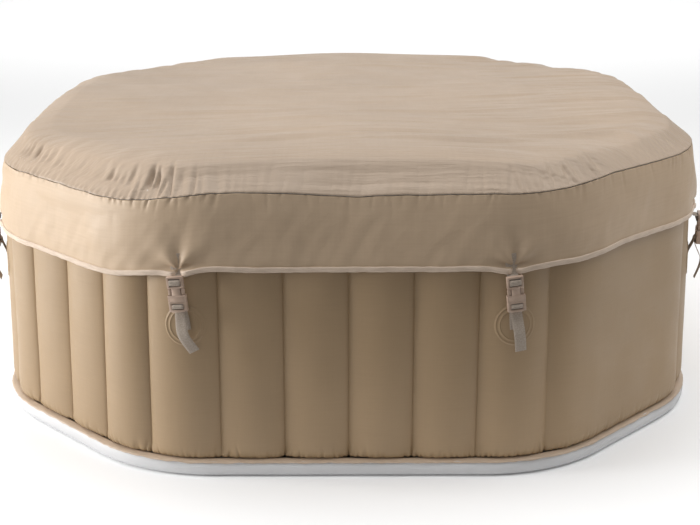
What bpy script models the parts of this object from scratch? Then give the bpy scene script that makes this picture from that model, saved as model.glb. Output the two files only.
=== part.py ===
"""Inflatable octagonal hot tub with a buckled fabric cover.

Metres, +Z up, the front facet faces -Y and the origin is on the ground under the centre. The wall is an air
ring: an outer and an inner skin, a top sheet and a zigzag web between them, standing on a floor pan. The
cover is a skirted fabric cap with an air bladder in it, held down by eight side-release buckles.
"""

import math

import bmesh
import bpy
import numpy as np
from mathutils import Matrix, Vector

# Plan outline: an octagon with four long facets, four shorter corner facets and rounded corners.
HALF_WIDTH = 0.925
CORNER_CUT = 0.435
CORNER_RADIUS = 0.40

# Wall.
WALL_HEIGHT = 0.68
WALL_DEPTH = 0.200
WALL_LEAN = 0.020
SKIN = 0.002
GAP = 0.0003
RIB_DEPTH = 0.020
RIB_WIDTH = 0.15
CORNER_RIB_WIDTH = 0.18
RIBS_ON_CORNER_FACET = 4
SMOOTH_FACETS = (0, 2)
SMOOTH_FLAT_SHARE = 0.47

# Cover.
SEAM_HEIGHT = 0.680
HEM_HEIGHT = 0.505
BINDING_HEIGHT = 0.0117
FOLD_HEIGHT = 0.735
COVER_HEIGHT = 0.757
COVER_SHEET = 0.002
LINING_BOTTOM = 0.6805
BLADDER_BOTTOM = 0.6825
BLADDER_HEIGHT = 0.7400
VALVE_HOLE = 0.0345

# Buckles and webbing: two on each long facet, at these distances along it, turned a little in its plane.
BUCKLE_OFFSETS = (-0.384, 0.374)
BUCKLE_TURN = math.radians(6)
BUCKLE_WIDTH = 0.0416
BUCKLE_TOP_WIDTH = 0.037
BUCKLE_BACK = 0.0085
BUCKLE_THICKNESS = 0.012
BUCKLE_TOP = 0.500
BUCKLE_SPLIT = 0.441
BUCKLE_BOTTOM = 0.418
BUCKLE_MIDDLE = (BUCKLE_TOP + BUCKLE_BOTTOM) / 2
SOCKET_SLOTS = ((0.4870, 0.4960), (0.4780, 0.4825))
PRONG_SLOTS = ((0.4225, 0.4275), (0.4315, 0.4365))
TONGUE_WIDTH = 0.019
WINDOW = (0.4560, 0.4730)
WINDOW_ROOF = 0.4720
PRONG_TOP = 0.4705
LATCH_ARM = (0.0112, 0.0182)
SOCKET_WALL = 0.003
THROUGH = -0.01
BEYOND_EDGE = 0.03
WEBBING_WIDTH = 0.025
WEBBING = 0.0016

# Service fittings, on the smooth rear corner facet: (distance along the facet, height).
OUTLET_PLACE = (-0.088, 0.300)
INLET_PLACE = (0.088, 0.300)
AIR_PORT_PLACE = (0.0, 0.400)
WALL_VALVE_PLACE = (0.0, 0.215)
DRAIN_PLACE = (-0.088, 0.115)
FITTING_SIDES = 16
HOLE_CLEARANCE = 0.0012
HOLE_RUN = (-0.230, 0.050)

# Pipes through the wall: (place, pipe radius, bore radius, flange radius, nipple length, inner reach).
PIPES = {
    "water_outlet": (OUTLET_PLACE, 0.024, 0.019, 0.038, 0.032, 0.0140),
    "water_inlet": (INLET_PLACE, 0.024, 0.019, 0.038, 0.032, 0.0140),
    "drain_pipe": (DRAIN_PLACE, 0.020, 0.015, 0.032, 0.026, 0.0060),
}

TANGENT_RUN = CORNER_RADIUS * math.tan(math.radians(22.5))
FACET_HALF = HALF_WIDTH - CORNER_CUT - TANGENT_RUN
CORNER_FACET = CORNER_CUT * math.sqrt(2) - 2 * TANGENT_RUN
CORNER_ARC = CORNER_RADIUS * math.pi / 4
QUARTER = 2 * FACET_HALF + CORNER_FACET + 2 * CORNER_ARC
CORNER_FACET_DISTANCE = (2 * HALF_WIDTH - CORNER_CUT) / math.sqrt(2)
RIB_EDGE = 2 * RIB_WIDTH + CORNER_RIB_WIDTH
PANEL_TILT = math.atan(WALL_LEAN / WALL_HEIGHT)

COLOURS = {
    "wall_vinyl": ((0.42, 0.33, 0.24), 0.50),
    "liner_vinyl": ((0.80, 0.79, 0.76), 0.40),
    "base_vinyl": ((0.74, 0.73, 0.71), 0.35),
    "cover_fabric": ((0.55, 0.43, 0.32), 0.45),
    "binding_tape": ((0.60, 0.49, 0.41), 0.70),
    "lining_foil": ((0.62, 0.62, 0.62), 0.35),
    "buckle_plastic": ((0.45, 0.33, 0.25), 0.35),
    "webbing": ((0.40, 0.31, 0.23), 0.85),
    "fitting_plastic": ((0.72, 0.70, 0.66), 0.40),
    "valve_plastic": ((0.52, 0.42, 0.33), 0.45),
}


def clear_scene():
    for obj in list(bpy.data.objects):
        bpy.data.objects.remove(obj, do_unlink=True)


def material(slot, node):
    colour, roughness = COLOURS[slot]
    made = bpy.data.materials.new(f"{slot}_{node}")
    made.use_nodes = True
    shader = made.node_tree.nodes["Principled BSDF"]
    shader.inputs["Base Color"].default_value = (*colour, 1.0)
    shader.inputs["Roughness"].default_value = roughness
    shader.inputs["Metallic"].default_value = 0.0
    return made


def add_object(name, mesh, slot, matrix=None):
    obj = bpy.data.objects.new(name, mesh)
    bpy.context.scene.collection.objects.link(obj)
    if matrix is not None:
        obj.matrix_world = matrix
    if not mesh.materials:
        mesh.materials.append(material(slot, name))
    return obj


def finish_mesh(name, shape):
    """Turns a bmesh into a mesh whose faces point out and whose soft edges shade smoothly."""
    bmesh.ops.recalc_face_normals(shape, faces=shape.faces[:])
    mesh = bpy.data.meshes.new(name)
    shape.to_mesh(mesh)
    shape.free()
    mesh.shade_smooth()
    mesh.set_sharp_from_angle(angle=math.radians(35))
    return mesh


def outline(along):
    """The point and outward direction of the plan outline, `along` metres from the middle of the front."""
    quarter, rest = divmod(along + FACET_HALF, QUARTER)
    rest -= FACET_HALF
    corner = Vector((FACET_HALF, -HALF_WIDTH + CORNER_RADIUS))
    if rest <= FACET_HALF:
        point, angle = Vector((rest, -HALF_WIDTH)), 0.0
    elif rest <= FACET_HALF + CORNER_ARC:
        angle = (rest - FACET_HALF) / CORNER_RADIUS
        point = corner + CORNER_RADIUS * Vector((math.sin(angle), -math.cos(angle)))
    elif rest <= FACET_HALF + CORNER_ARC + CORNER_FACET:
        angle = math.pi / 4
        start = corner + CORNER_RADIUS * Vector((math.sin(angle), -math.cos(angle)))
        run = rest - FACET_HALF - CORNER_ARC
        point = start + run * Vector((math.cos(angle), math.sin(angle)))
    else:
        angle = math.pi / 2 - (QUARTER - FACET_HALF - rest) / CORNER_RADIUS
        far_corner = Vector((HALF_WIDTH - CORNER_RADIUS, -FACET_HALF))
        point = far_corner + CORNER_RADIUS * Vector((math.sin(angle), -math.cos(angle)))
    normal = Vector((math.sin(angle), -math.cos(angle)))
    turn = Matrix.Rotation(quarter * math.pi / 2, 2)
    return turn @ point, turn @ normal


def plain_stations(arc_steps=4):
    """Places along the outline: the ends of each straight run and steps round each corner, with no ribs."""
    places = []
    for quarter in range(4):
        start = quarter * QUARTER - FACET_HALF
        places.append(start)
        for run_end in (start + 2 * FACET_HALF, start + 2 * FACET_HALF + CORNER_ARC + CORNER_FACET):
            places += [run_end + CORNER_ARC * step / arc_steps for step in range(arc_steps + 1)]
        places.pop()
    return [(place, 0.0) for place in places]


def rib_stations():
    """Places along the outline with the share of the rib depth there: 1 in a crease and 0 on a crest."""
    stations = []
    for quarter in range(4):
        middle = quarter * QUARTER
        edges = [-RIB_EDGE, -2 * RIB_WIDTH, -RIB_WIDTH, 0.0, RIB_WIDTH, 2 * RIB_WIDTH, RIB_EDGE]
        corner_width = QUARTER - 2 * RIB_EDGE
        ribs = [(start, end) for start, end in zip(edges, edges[1:])]
        if quarter not in SMOOTH_FACETS:
            width = corner_width / RIBS_ON_CORNER_FACET
            starts = [RIB_EDGE + width * count for count in range(RIBS_ON_CORNER_FACET)]
            ribs += [(start, start + width) for start in starts]
        for start, end in ribs:
            for share in (-1.0, -0.6, 0.0, 0.6):
                place = middle + start + (end - start) * (share + 1) / 2
                stations.append((place, 1 - math.sqrt(1 - share * share)))
        if quarter in SMOOTH_FACETS:
            flat = SMOOTH_FLAT_SHARE
            for share in (-1.0, -0.93, -0.75, -flat, 0.0, flat, 0.75, 0.93):
                place = middle + RIB_EDGE + corner_width * (share + 1) / 2
                depth = max(0.0, (abs(share) - flat) / (1 - flat)) ** 4
                stations.append((place, depth))
    return stations


PLAIN = plain_stations()
RIBBED = rib_stations()


def lean(height):
    return WALL_LEAN * height / WALL_HEIGHT


def ring(stations, inset, height, rib=0.0, scale=1.0):
    """One closed row of points: the outline moved in by `inset` and the ribs, then scaled."""
    row = []
    for along, depth in stations:
        point, normal = outline(along)
        point = (point - normal * (inset + rib * RIB_DEPTH * depth)) * scale
        row.append(Vector((point.x, point.y, height)))
    return row


def thicken(profile, thickness):
    """A closed loop round a profile of (inset, height, rib), `thickness` to the left of its direction."""
    flat = [np.array(point[:2]) for point in profile]
    steps = [b - a for a, b in zip(flat, flat[1:])]
    sides = [np.array([-step[1], step[0]]) / np.linalg.norm(step) for step in steps]
    moved = []
    for place, point in enumerate(flat):
        before, after = sides[max(place - 1, 0)], sides[min(place, len(sides) - 1)]
        mitre = (before + after) / (1 + before @ after)
        moved.append((*(point + thickness * mitre), profile[place][2]))
    return list(profile) + moved[::-1]


def bridge(shape, rows, closed):
    """Quads between neighbouring rows of vertices, and from the last row to the first if `closed`."""
    pairs = list(zip(rows, rows[1:]))
    if closed:
        pairs.append((rows[-1], rows[0]))
    for low, high in pairs:
        for count in range(len(low)):
            following = (count + 1) % len(low)
            shape.faces.new((low[count], low[following], high[following], high[count]))


def ring_body(name, slot, stations, loop):
    """A closed skin round the tub, with the cross-section `loop` of (inset, height, rib)."""
    shape = bmesh.new()
    rows = [[shape.verts.new(point) for point in ring(stations, *corner)] for corner in loop]
    bridge(shape, rows, closed=True)
    return add_object(name, finish_mesh(name, shape), slot)


def sheet_ring(name, slot, stations, profile, thickness=SKIN):
    return ring_body(name, slot, stations, thicken(profile, thickness))


def disc_rows(shape, profile):
    """Rows of vertices for a sheet over the whole plan, one for each (inset, height) or with a scale too."""
    rows = []
    for step in profile:
        inset, height = step[:2]
        scale = step[2] if len(step) > 2 else 1.0
        rows.append([shape.verts.new(point) for point in ring(PLAIN, inset, height, 0.0, scale)])
    return rows


def close_with_point(shape, row, height):
    top = shape.verts.new((0.0, 0.0, height))
    for count in range(len(row)):
        shape.faces.new((row[count], row[(count + 1) % len(row)], top))


def disc_body(name, slot, outside, inside):
    """A sheet over the whole plan: `outside` steps run from the centre to the edge, `inside` steps back."""
    shape = bmesh.new()
    centre_outside, centre_inside = outside[0][1], inside[-1][1]
    rows = disc_rows(shape, outside[1:] + inside[:-1])
    bridge(shape, rows, closed=False)
    close_with_point(shape, rows[0], centre_outside)
    close_with_point(shape, rows[-1], centre_inside)
    return add_object(name, finish_mesh(name, shape), slot)


def turned(name, slot, profile, matrix, sides=FITTING_SIDES):
    """A profile of (radius, height) turned about +Z. It is a ring if its ends stand off the axis."""
    shape = bmesh.new()
    on_axis = profile[0][0] == 0.0
    rows = []
    for radius, height in profile[1:-1] if on_axis else profile:
        angles = [2 * math.pi * side / sides for side in range(sides)]
        rows.append([shape.verts.new((radius * math.cos(a), radius * math.sin(a), height)) for a in angles])
    bridge(shape, rows, closed=not on_axis)
    if on_axis:
        close_with_point(shape, rows[0], profile[0][1])
        close_with_point(shape, rows[-1], profile[-1][1])
    return add_object(name, finish_mesh(name, shape), slot, matrix)


def box(shape, low, high):
    """Adds a box between two corners to a bmesh."""
    middle = (Vector(low) + Vector(high)) / 2
    size = Vector(high) - Vector(low)
    place = Matrix.Translation(middle) @ Matrix.Diagonal((*size, 1.0))
    bmesh.ops.create_cube(shape, size=1.0, matrix=place)


def box_mesh(name, *corners):
    """A mesh with one box for each (low, high) pair."""
    shape = bmesh.new()
    for low, high in corners:
        box(shape, low, high)
    return finish_mesh(name, shape)


def boolean(obj, cutter, operation="DIFFERENCE"):
    modifier = obj.modifiers.new(f"{operation.lower()}_{cutter.name}", "BOOLEAN")
    modifier.operation = operation
    modifier.solver = "EXACT"
    modifier.object = cutter


def as_guide(obj):
    obj.hide_render = True
    obj.display_type = "WIRE"
    return obj


def guide(name, mesh, matrix=None):
    obj = bpy.data.objects.new(name, mesh)
    bpy.context.scene.collection.objects.link(obj)
    if matrix is not None:
        obj.matrix_world = matrix
    return as_guide(obj)


def evaluated_mesh(name, obj):
    """The object's mesh with its modifiers applied, for several nodes to share."""
    bpy.context.view_layer.update()
    graph = bpy.context.evaluated_depsgraph_get()
    mesh = bpy.data.meshes.new_from_object(obj.evaluated_get(graph))
    mesh.name = name
    mesh.materials.clear()
    return mesh


def add_wall():
    wall_profile = [
        (0.014, 0.0410, 0.4),
        (0.006, 0.0550, 0.8),
        (lean(0.080), 0.0800, 1.0),
        (lean(0.630), 0.6300, 1.0),
        (0.0250, 0.6520, 0.6),
        (0.0400, 0.6680, 0.0),
    ]
    outer = sheet_ring("outer_wall", "wall_vinyl", RIBBED, wall_profile, -SKIN)
    top_profile = [
        (0.0440, 0.6695, 0.0),
        (0.0700, 0.6765, 0.0),
        (0.1150, 0.6785, 0.0),
        (0.1600, 0.6765, 0.0),
        (0.1840, 0.6695, 0.0),
    ]
    sheet_ring("wall_top", "wall_vinyl", PLAIN, top_profile, -SKIN)
    inner_profile = [
        (WALL_DEPTH, 0.0072, 0.0),
        (WALL_DEPTH, 0.6350, 0.0),
        (0.1960, 0.6540, 0.0),
        (0.1885, 0.6675, 0.0),
    ]
    inner = sheet_ring("inner_wall", "liner_vinyl", PLAIN, inner_profile)
    return outer, inner


def add_webs():
    """A zigzag sheet between the outer skin's creases and the inner skin half way between them."""
    thickness, low, high = 0.0015, 0.060, 0.630
    crease_inset, inner_inset = 0.046, WALL_DEPTH - 0.008
    creases = [along for along, depth in RIBBED if depth == 1.0]
    creases.append(creases[0] + 4 * QUARTER)
    corners = []
    for here, there in zip(creases, creases[1:]):
        for along, inset in ((here, crease_inset), ((here + there) / 2, inner_inset)):
            point, normal = outline(along)
            corners.append(point - normal * inset)
    left, right = [], []
    for count, corner in enumerate(corners):
        before = (corner - corners[count - 1]).normalized()
        after = (corners[(count + 1) % len(corners)] - corner).normalized()
        side_before, side_after = (Vector((-d.y, d.x)) for d in (before, after))
        mitre = (side_before + side_after) / (1 + side_before.dot(side_after))
        left.append(corner + mitre * thickness / 2)
        right.append(corner - mitre * thickness / 2)
    shape = bmesh.new()
    loop = [(right, low), (right, high), (left, high), (left, low)]
    rows = [[shape.verts.new((p.x, p.y, height)) for p in side] for side, height in loop]
    bridge(shape, rows, closed=True)
    return add_object("wall_webs", finish_mesh("wall_webs", shape), "liner_vinyl")


def add_floor():
    disc_body(
        "base_pan",
        "base_vinyl",
        outside=[
            (0, 0.0),
            (0.30, 0.0, 0.5),
            (0.012, 0.0),
            (0.001, 0.004),
            (-0.004, 0.020),
            (0.001, 0.038),
        ],
        inside=[
            (0.003, 0.038),
            (-0.001, 0.020),
            (0.004, 0.007),
            (0.012, 0.003),
            (0.30, 0.003, 0.5),
            (0, 0.003),
        ],
    )
    disc_body(
        "floor_liner",
        "liner_vinyl",
        outside=[(0, 0.0056), (0.30, 0.0056, 0.5), (0.205, 0.0056)],
        inside=[(0.205, 0.0036), (0.30, 0.0036, 0.5), (0, 0.0036)],
    )
    flap = [(-0.010, 0.0385, 0.0), (0.018, 0.0385, 0.0)]
    sheet_ring("bottom_seam_flap", "wall_vinyl", PLAIN, flap, 0.0016)
    channel = [
        (0.2030, 0.0062, 0.0),
        (0.2030, 0.0180, 0.0),
        (0.2100, 0.0240, 0.0),
        (0.2280, 0.0240, 0.0),
        (0.2350, 0.0180, 0.0),
        (0.2350, 0.0062, 0.0),
    ]
    sheet_ring("bubble_channel", "liner_vinyl", PLAIN, channel, -0.002)


def add_cover():
    sheet = COVER_SHEET
    disc_body(
        "cover_top_panel",
        "cover_fabric",
        outside=[
            (0, COVER_HEIGHT),
            (0.30, COVER_HEIGHT - 0.001, 0.5),
            (0.30, COVER_HEIGHT - 0.002),
            (0.160, 0.7500),
            (0.105, 0.7430),
            (0.076, FOLD_HEIGHT),
            (0.045, 0.7140),
            (0.024, 0.6960),
            (0.016, SEAM_HEIGHT + GAP),
        ],
        inside=[
            (0.016 + sheet, SEAM_HEIGHT + GAP),
            (0.026, 0.6950),
            (0.0465, 0.7120),
            (0.077, FOLD_HEIGHT - sheet),
            (0.105, 0.7430 - sheet),
            (0.160, 0.7500 - sheet),
            (0.30, COVER_HEIGHT - 0.002 - sheet),
            (0.30, COVER_HEIGHT - 0.001 - sheet, 0.5),
            (0, COVER_HEIGHT - sheet),
        ],
    )
    binding_top = HEM_HEIGHT + BINDING_HEIGHT
    skirt = [(0.016, SEAM_HEIGHT, 0.0), (-0.001, 0.560, 0.0), (-0.003, binding_top + GAP, 0.0)]
    sheet_ring("cover_skirt", "cover_fabric", PLAIN, skirt, sheet)
    binding = [(-0.005, HEM_HEIGHT, 0.0), (-0.005, binding_top, 0.0)]
    sheet_ring("hem_binding", "binding_tape", PLAIN, binding, -0.0055)
    add_lining()
    add_bladder()


def add_lining():
    """The foil sheet under the air cushion, with an opening for the cushion's valve."""
    low, high = LINING_BOTTOM, LINING_BOTTOM + 0.0015
    shape = bmesh.new()
    steps = [(0.30, low, VALVE_HOLE), (0.30, low), (0.021, low)]
    steps += [(0.021, high), (0.30, high), (0.30, high, VALVE_HOLE)]
    bridge(shape, disc_rows(shape, steps), closed=True)
    add_object("cover_lining", finish_mesh("cover_lining", shape), "lining_foil")


def add_bladder():
    """The air cushion that lifts the cover: a hollow disc, open only at its valve, under its middle."""
    low, high, film = BLADDER_BOTTOM, BLADDER_HEIGHT, 0.0015
    shape = bmesh.new()
    outside = disc_rows(
        shape,
        [
            (0.30, low, VALVE_HOLE),
            (0.055, low),
            (0.042, low + 0.010),
            (0.052, low + 0.025),
            (0.084, high - 0.022),
            (0.112, high - 0.013),
            (0.165, high - 0.0055),
            (0.30, high - 0.001),
        ],
    )
    inside = disc_rows(
        shape,
        [
            (0.30, high - 0.001 - film),
            (0.166, high - 0.0055 - film),
            (0.113, high - 0.013 - film),
            (0.086, high - 0.0235),
            (0.054, low + 0.0245),
            (0.044, low + 0.0105),
            (0.056, low + film),
            (0.30, low + film, VALVE_HOLE),
        ],
    )
    bridge(shape, outside, closed=False)
    bridge(shape, inside, closed=False)
    bridge(shape, [inside[-1], outside[0]], closed=False)
    close_with_point(shape, outside[-1], high)
    close_with_point(shape, inside[0], high - film)
    return add_object("lid_bladder", finish_mesh("lid_bladder", shape), "liner_vinyl")


def panel_matrix(place):
    """The frame of a fitting on the rear service facet: +Z out of the wall, +Y up it, +X along it."""
    across, height = place
    facet = Vector((-1.0, 1.0, 0.0)).normalized()
    out = facet * math.cos(PANEL_TILT) + Vector((0, 0, math.sin(PANEL_TILT)))
    up = Vector((0, 0, math.cos(PANEL_TILT))) - facet * math.sin(PANEL_TILT)
    side = up.cross(out)
    origin = facet * (CORNER_FACET_DISTANCE - lean(height)) + Vector((0, 0, height)) + side * across
    turn = Matrix((side, up, out)).transposed()
    return Matrix.Translation(origin) @ turn.to_4x4()


def pipe_profile(pipe, bore, flange, nipple, back):
    """A flanged pipe through the wall: (radius, height) round its wall section."""
    return [
        (bore, back),
        (pipe, back),
        (pipe, GAP),
        (flange, GAP),
        (flange, 0.0045),
        (pipe, 0.0045),
        (pipe, nipple),
        (bore, nipple),
    ]


def cap_profile(pipe, nipple):
    """A cup that covers a pipe's nipple."""
    return [
        (0.0, nipple + 0.0045),
        (pipe + 0.006, nipple + 0.0045),
        (pipe + 0.006, 0.0080),
        (pipe + 0.001, 0.0080),
        (pipe + 0.001, nipple + 0.0005),
        (0.0, nipple + 0.0005),
    ]


def valve_profile():
    return [
        (0.014, -0.020),
        (0.020, -0.020),
        (0.020, GAP),
        (0.030, GAP),
        (0.030, 0.0035),
        (0.020, 0.0035),
        (0.020, 0.0120),
        (0.014, 0.0120),
    ]


def valve_cap_profile():
    stopper, cap, seat, top = 0.0115, 0.0225, 0.0124, 0.0165
    return [(0.0, 0.0075), (stopper, 0.0075), (stopper, seat), (cap, seat), (cap, top), (0.0, top)]


def strainer_profile(depth):
    return [
        (0.0, -depth - 0.0265),
        (0.034, -depth - 0.0265),
        (0.034, -depth - 0.0045),
        (0.0255, -depth - 0.0045),
        (0.0255, -depth - 0.0225),
        (0.0, -depth - 0.0225),
    ]


def wall_depth_at(height):
    """From the outer face of the service facet to the inner face of the wall, along a fitting's axis."""
    return (WALL_DEPTH - lean(height)) / math.cos(PANEL_TILT)


def cut_hole(name, place, radius, run, walls):
    """Cuts a round hole for a fitting through the given walls, between two distances along its axis."""
    start, end = run
    profile = [(0.0, end), (radius, end), (radius, start), (0.0, start)]
    cutter = as_guide(turned(f"cut_{name}", "fitting_plastic", profile, panel_matrix(place)))
    for wall in walls:
        boolean(wall, cutter)


def add_pipes(walls):
    for name, (place, pipe, bore, flange, nipple, reach) in PIPES.items():
        depth = wall_depth_at(place[1])
        matrix = panel_matrix(place)
        turned(name, "fitting_plastic", pipe_profile(pipe, bore, flange, nipple, -depth - reach), matrix)
        turned(f"{name.replace('_pipe', '')}_cap", "valve_plastic", cap_profile(pipe, nipple), matrix)
        cut_hole(name, place, pipe + HOLE_CLEARANCE, HOLE_RUN, walls)
        if name != "drain_pipe":
            turned(f"{name}_strainer", "fitting_plastic", strainer_profile(depth), matrix)


def add_air_port(walls):
    """The air pump's port: a pipe closed at its inner end, where the riser tube takes over."""
    air_matrix = panel_matrix(AIR_PORT_PLACE)
    air_depth = wall_depth_at(AIR_PORT_PLACE[1])
    air_end = -air_depth - 0.028
    air_profile = [
        (0.0, air_end),
        (0.012, air_end),
        (0.012, GAP),
        (0.025, GAP),
        (0.025, 0.0045),
        (0.012, 0.0045),
        (0.012, 0.0240),
        (0.008, 0.0240),
        (0.008, air_end + 0.003),
        (0.0, air_end + 0.003),
    ]
    turned("air_port", "fitting_plastic", air_profile, air_matrix)
    turned("air_port_cap", "valve_plastic", cap_profile(0.012, 0.024), air_matrix)
    cut_hole("air_port", AIR_PORT_PLACE, 0.012 + HOLE_CLEARANCE, HOLE_RUN, walls)
    add_riser()


def add_valves(outer):
    """The air valves of the wall and of the cover's cushion, each with a cap."""
    valve_matrix = panel_matrix(WALL_VALVE_PLACE)
    turned("wall_valve", "valve_plastic", valve_profile(), valve_matrix)
    turned("wall_valve_cap", "valve_plastic", valve_cap_profile(), valve_matrix)
    cut_hole("wall_valve", WALL_VALVE_PLACE, 0.020 + HOLE_CLEARANCE, (-0.030, 0.050), [outer])

    lid_matrix = Matrix.Translation((0, 0, LINING_BOTTOM)) @ Matrix.Rotation(math.pi, 4, "X")
    turned("lid_valve", "valve_plastic", valve_profile(), lid_matrix)
    turned("lid_valve_cap", "valve_plastic", valve_cap_profile(), lid_matrix)


def add_riser():
    """The air tube inside the tub, from the air port down the wall to the bubble channel."""
    facet = Vector((-1.0, 1.0, 0.0)).normalized()
    foot = facet * (CORNER_FACET_DISTANCE - WALL_DEPTH - 0.014) + Vector((0, 0, 0.0246))
    length = 0.3560
    profile = [(0.006, 0.0), (0.009, 0.0), (0.009, length), (0.006, length)]
    turned("air_riser", "liner_vinyl", profile, Matrix.Translation(foot), sides=12)


def buckle_matrix(number):
    """The frame of a buckle: +Y out of its facet, +Z up it, turned in the facet's plane about its middle."""
    quarter, side = divmod(number, 2)
    point, normal = outline(quarter * QUARTER + BUCKLE_OFFSETS[side])
    out = Vector((normal.x, normal.y, 0.0))
    along = out.cross(Vector((0, 0, 1)))
    facing = Matrix((along, out, Vector((0, 0, 1)))).transposed().to_4x4()
    middle = Matrix.Translation((point.x, point.y, BUCKLE_MIDDLE))
    to_middle = Matrix.Translation((0, 0, -BUCKLE_MIDDLE))
    return middle @ facing @ Matrix.Rotation(BUCKLE_TURN, 4, "Y") @ to_middle


def buckle_half(name, body, unions, cuts):
    """The mesh of a block with boxes joined to it and then cut from it, each a (low, high) pair."""
    block = guide(f"{name}_body", box_mesh(name, body))
    for operation, boxes in (("UNION", unions), ("DIFFERENCE", cuts)):
        for count, corners in enumerate(boxes):
            boolean(block, guide(f"{name}_{operation.lower()}_{count}", box_mesh(name, corners)), operation)
    return evaluated_mesh(name, block)


def buckle_box(low_x, high_x, low, high, depth=0.0):
    """A box in the buckle's frame, set in from its two faces by `depth`."""
    back, front = BUCKLE_BACK + depth, BUCKLE_BACK + BUCKLE_THICKNESS - depth
    return (low_x, back, low), (high_x, front, high)


def webbing_slot(low, high):
    """A box through the buckle's thickness that webbing passes, between two heights."""
    half = WEBBING_WIDTH / 2 + 0.0015
    return buckle_box(-half, half, low, high, THROUGH)


def both_sides(inner, outer, low, high, depth):
    return [buckle_box(*sorted((side * inner, side * outer)), low, high, depth) for side in (-1, 1)]


def female_half_mesh():
    """The socket half: a block with two webbing slots, a narrow tongue below it and a collar at its foot."""
    half, below, above = BUCKLE_WIDTH / 2, BUCKLE_SPLIT - 0.01, BUCKLE_TOP + 0.01
    window_low, window_high = WINDOW
    cuts = [webbing_slot(low, high) for low, high in SOCKET_SLOTS]
    cuts.append(buckle_box(-0.0190, 0.0190, below, window_low, SOCKET_WALL))
    cuts.append(buckle_box(-0.0045, 0.0045, below, WINDOW_ROOF, 0.0035))
    cuts += both_sides(TONGUE_WIDTH / 2, BEYOND_EDGE, window_low, window_high, THROUGH)
    cuts += both_sides(BUCKLE_TOP_WIDTH / 2, BEYOND_EDGE, WINDOW_ROOF, above, THROUGH)
    return buckle_half("buckle_female", buckle_box(-half, half, BUCKLE_SPLIT, BUCKLE_TOP), [], cuts)


def male_half_mesh():
    """The prong half: two webbing slots in its plate, a guide prong and two latch arms."""
    half, split = BUCKLE_WIDTH / 2, BUCKLE_SPLIT - GAP
    prongs = [buckle_box(-0.0035, 0.0035, split - 0.002, PRONG_TOP, 0.0045)]
    prongs += both_sides(*LATCH_ARM, split - 0.002, PRONG_TOP, 0.0036)
    slots = [webbing_slot(low, high) for low, high in PRONG_SLOTS]
    return buckle_half("buckle_male", buckle_box(-half, half, BUCKLE_BOTTOM, split), prongs, slots)


def ribbon_mesh(name, path):
    """A flat strap of WEBBING_WIDTH, whose middle line is `path` of (out, height)."""
    shape = bmesh.new()
    one_side = thicken([(*point, 0.0) for point in path], WEBBING / 2)[len(path) :]
    other_side = thicken([(*point, 0.0) for point in path], -WEBBING / 2)[len(path) :]
    section = [point[:2] for point in one_side + other_side[::-1]]
    half = WEBBING_WIDTH / 2
    rows = [[shape.verts.new((x, out, height)) for out, height in section] for x in (-half, half)]
    bridge(shape, rows, closed=False)
    for row in rows:
        count = len(row) // 2
        for place in range(count - 1):
            shape.faces.new((row[place], row[place + 1], row[-2 - place], row[-1 - place]))
    return finish_mesh(name, shape)


def hanger_path():
    """From the sewn end inside the skirt, under the hem, round the socket half's middle bar and back up."""
    return [
        (-0.0052, 0.5450),
        (-0.0036, 0.5060),
        (-0.0020, 0.4995),
        (0.0045, 0.4975),
        (0.0060, 0.4930),
        (0.0065, 0.4882),
        (0.0217, 0.4882),
        (0.0217, 0.4813),
        (0.0035, 0.4813),
        (0.0035, 0.4920),
    ]


def tail_path():
    """From the anchor on the wall, up round the prong half's middle bar and down as a free tail."""
    return [
        (-0.0095, 0.3770),
        (-0.0070, 0.3950),
        (0.0000, 0.4110),
        (0.0020, 0.4220),
        (0.0020, 0.4327),
        (0.0217, 0.4327),
        (0.0217, 0.4263),
        (0.0062, 0.4263),
        (0.0062, 0.4160),
        (0.0120, 0.3970),
        (0.0200, 0.3670),
        (0.0200, 0.3370),
        (0.0130, 0.3220),
    ]


def add_buckles():
    halves = (
        ("buckle_female", female_half_mesh(), "buckle_plastic"),
        ("buckle_male", male_half_mesh(), "buckle_plastic"),
        ("strap_hanger", ribbon_mesh("hanger", hanger_path()), "webbing"),
        ("strap_tail", ribbon_mesh("tail", tail_path()), "webbing"),
    )
    for number in range(8):
        matrix = buckle_matrix(number)
        for name, mesh, slot in halves:
            add_object(f"{name}_{number + 1}", mesh, slot, matrix)


def main():
    clear_scene()
    outer, inner = add_wall()
    webs = add_webs()
    add_floor()
    add_cover()
    walls = (outer, inner, webs)
    add_pipes(walls)
    add_air_port(walls)
    add_valves(outer)
    add_buckles()


main()
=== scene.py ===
"""Studio picture of the inflatable octagonal hot tub with its buckled cover.

Metres, +Z up, the front facet faces -Y. Distances along the outline run counter-clockwise from the middle
of the front.
"""

import math

import bmesh
import bpy
import numpy as np
from mathutils import Matrix, Vector


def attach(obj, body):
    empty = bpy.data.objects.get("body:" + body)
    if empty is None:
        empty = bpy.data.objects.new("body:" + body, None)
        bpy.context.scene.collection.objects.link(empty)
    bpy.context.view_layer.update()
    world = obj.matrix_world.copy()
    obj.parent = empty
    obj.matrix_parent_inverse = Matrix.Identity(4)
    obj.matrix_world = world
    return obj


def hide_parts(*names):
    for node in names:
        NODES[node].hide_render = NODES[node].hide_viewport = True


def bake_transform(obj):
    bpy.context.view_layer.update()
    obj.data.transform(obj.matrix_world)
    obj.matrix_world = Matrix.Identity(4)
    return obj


# Plan outline, as in the CAD source.
HALF_WIDTH = 0.925
CORNER_CUT = 0.435
CORNER_RADIUS = 0.40
WALL_HEIGHT = 0.68
WALL_LEAN = 0.020
RIB_DEPTH = 0.020
RIB_WIDTH = 0.15
CORNER_RIB_WIDTH = 0.18
SMOOTH_QUARTERS = (0, 2)
TANGENT_RUN = CORNER_RADIUS * math.tan(math.radians(22.5))
FACET_HALF = HALF_WIDTH - CORNER_CUT - TANGENT_RUN
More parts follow.
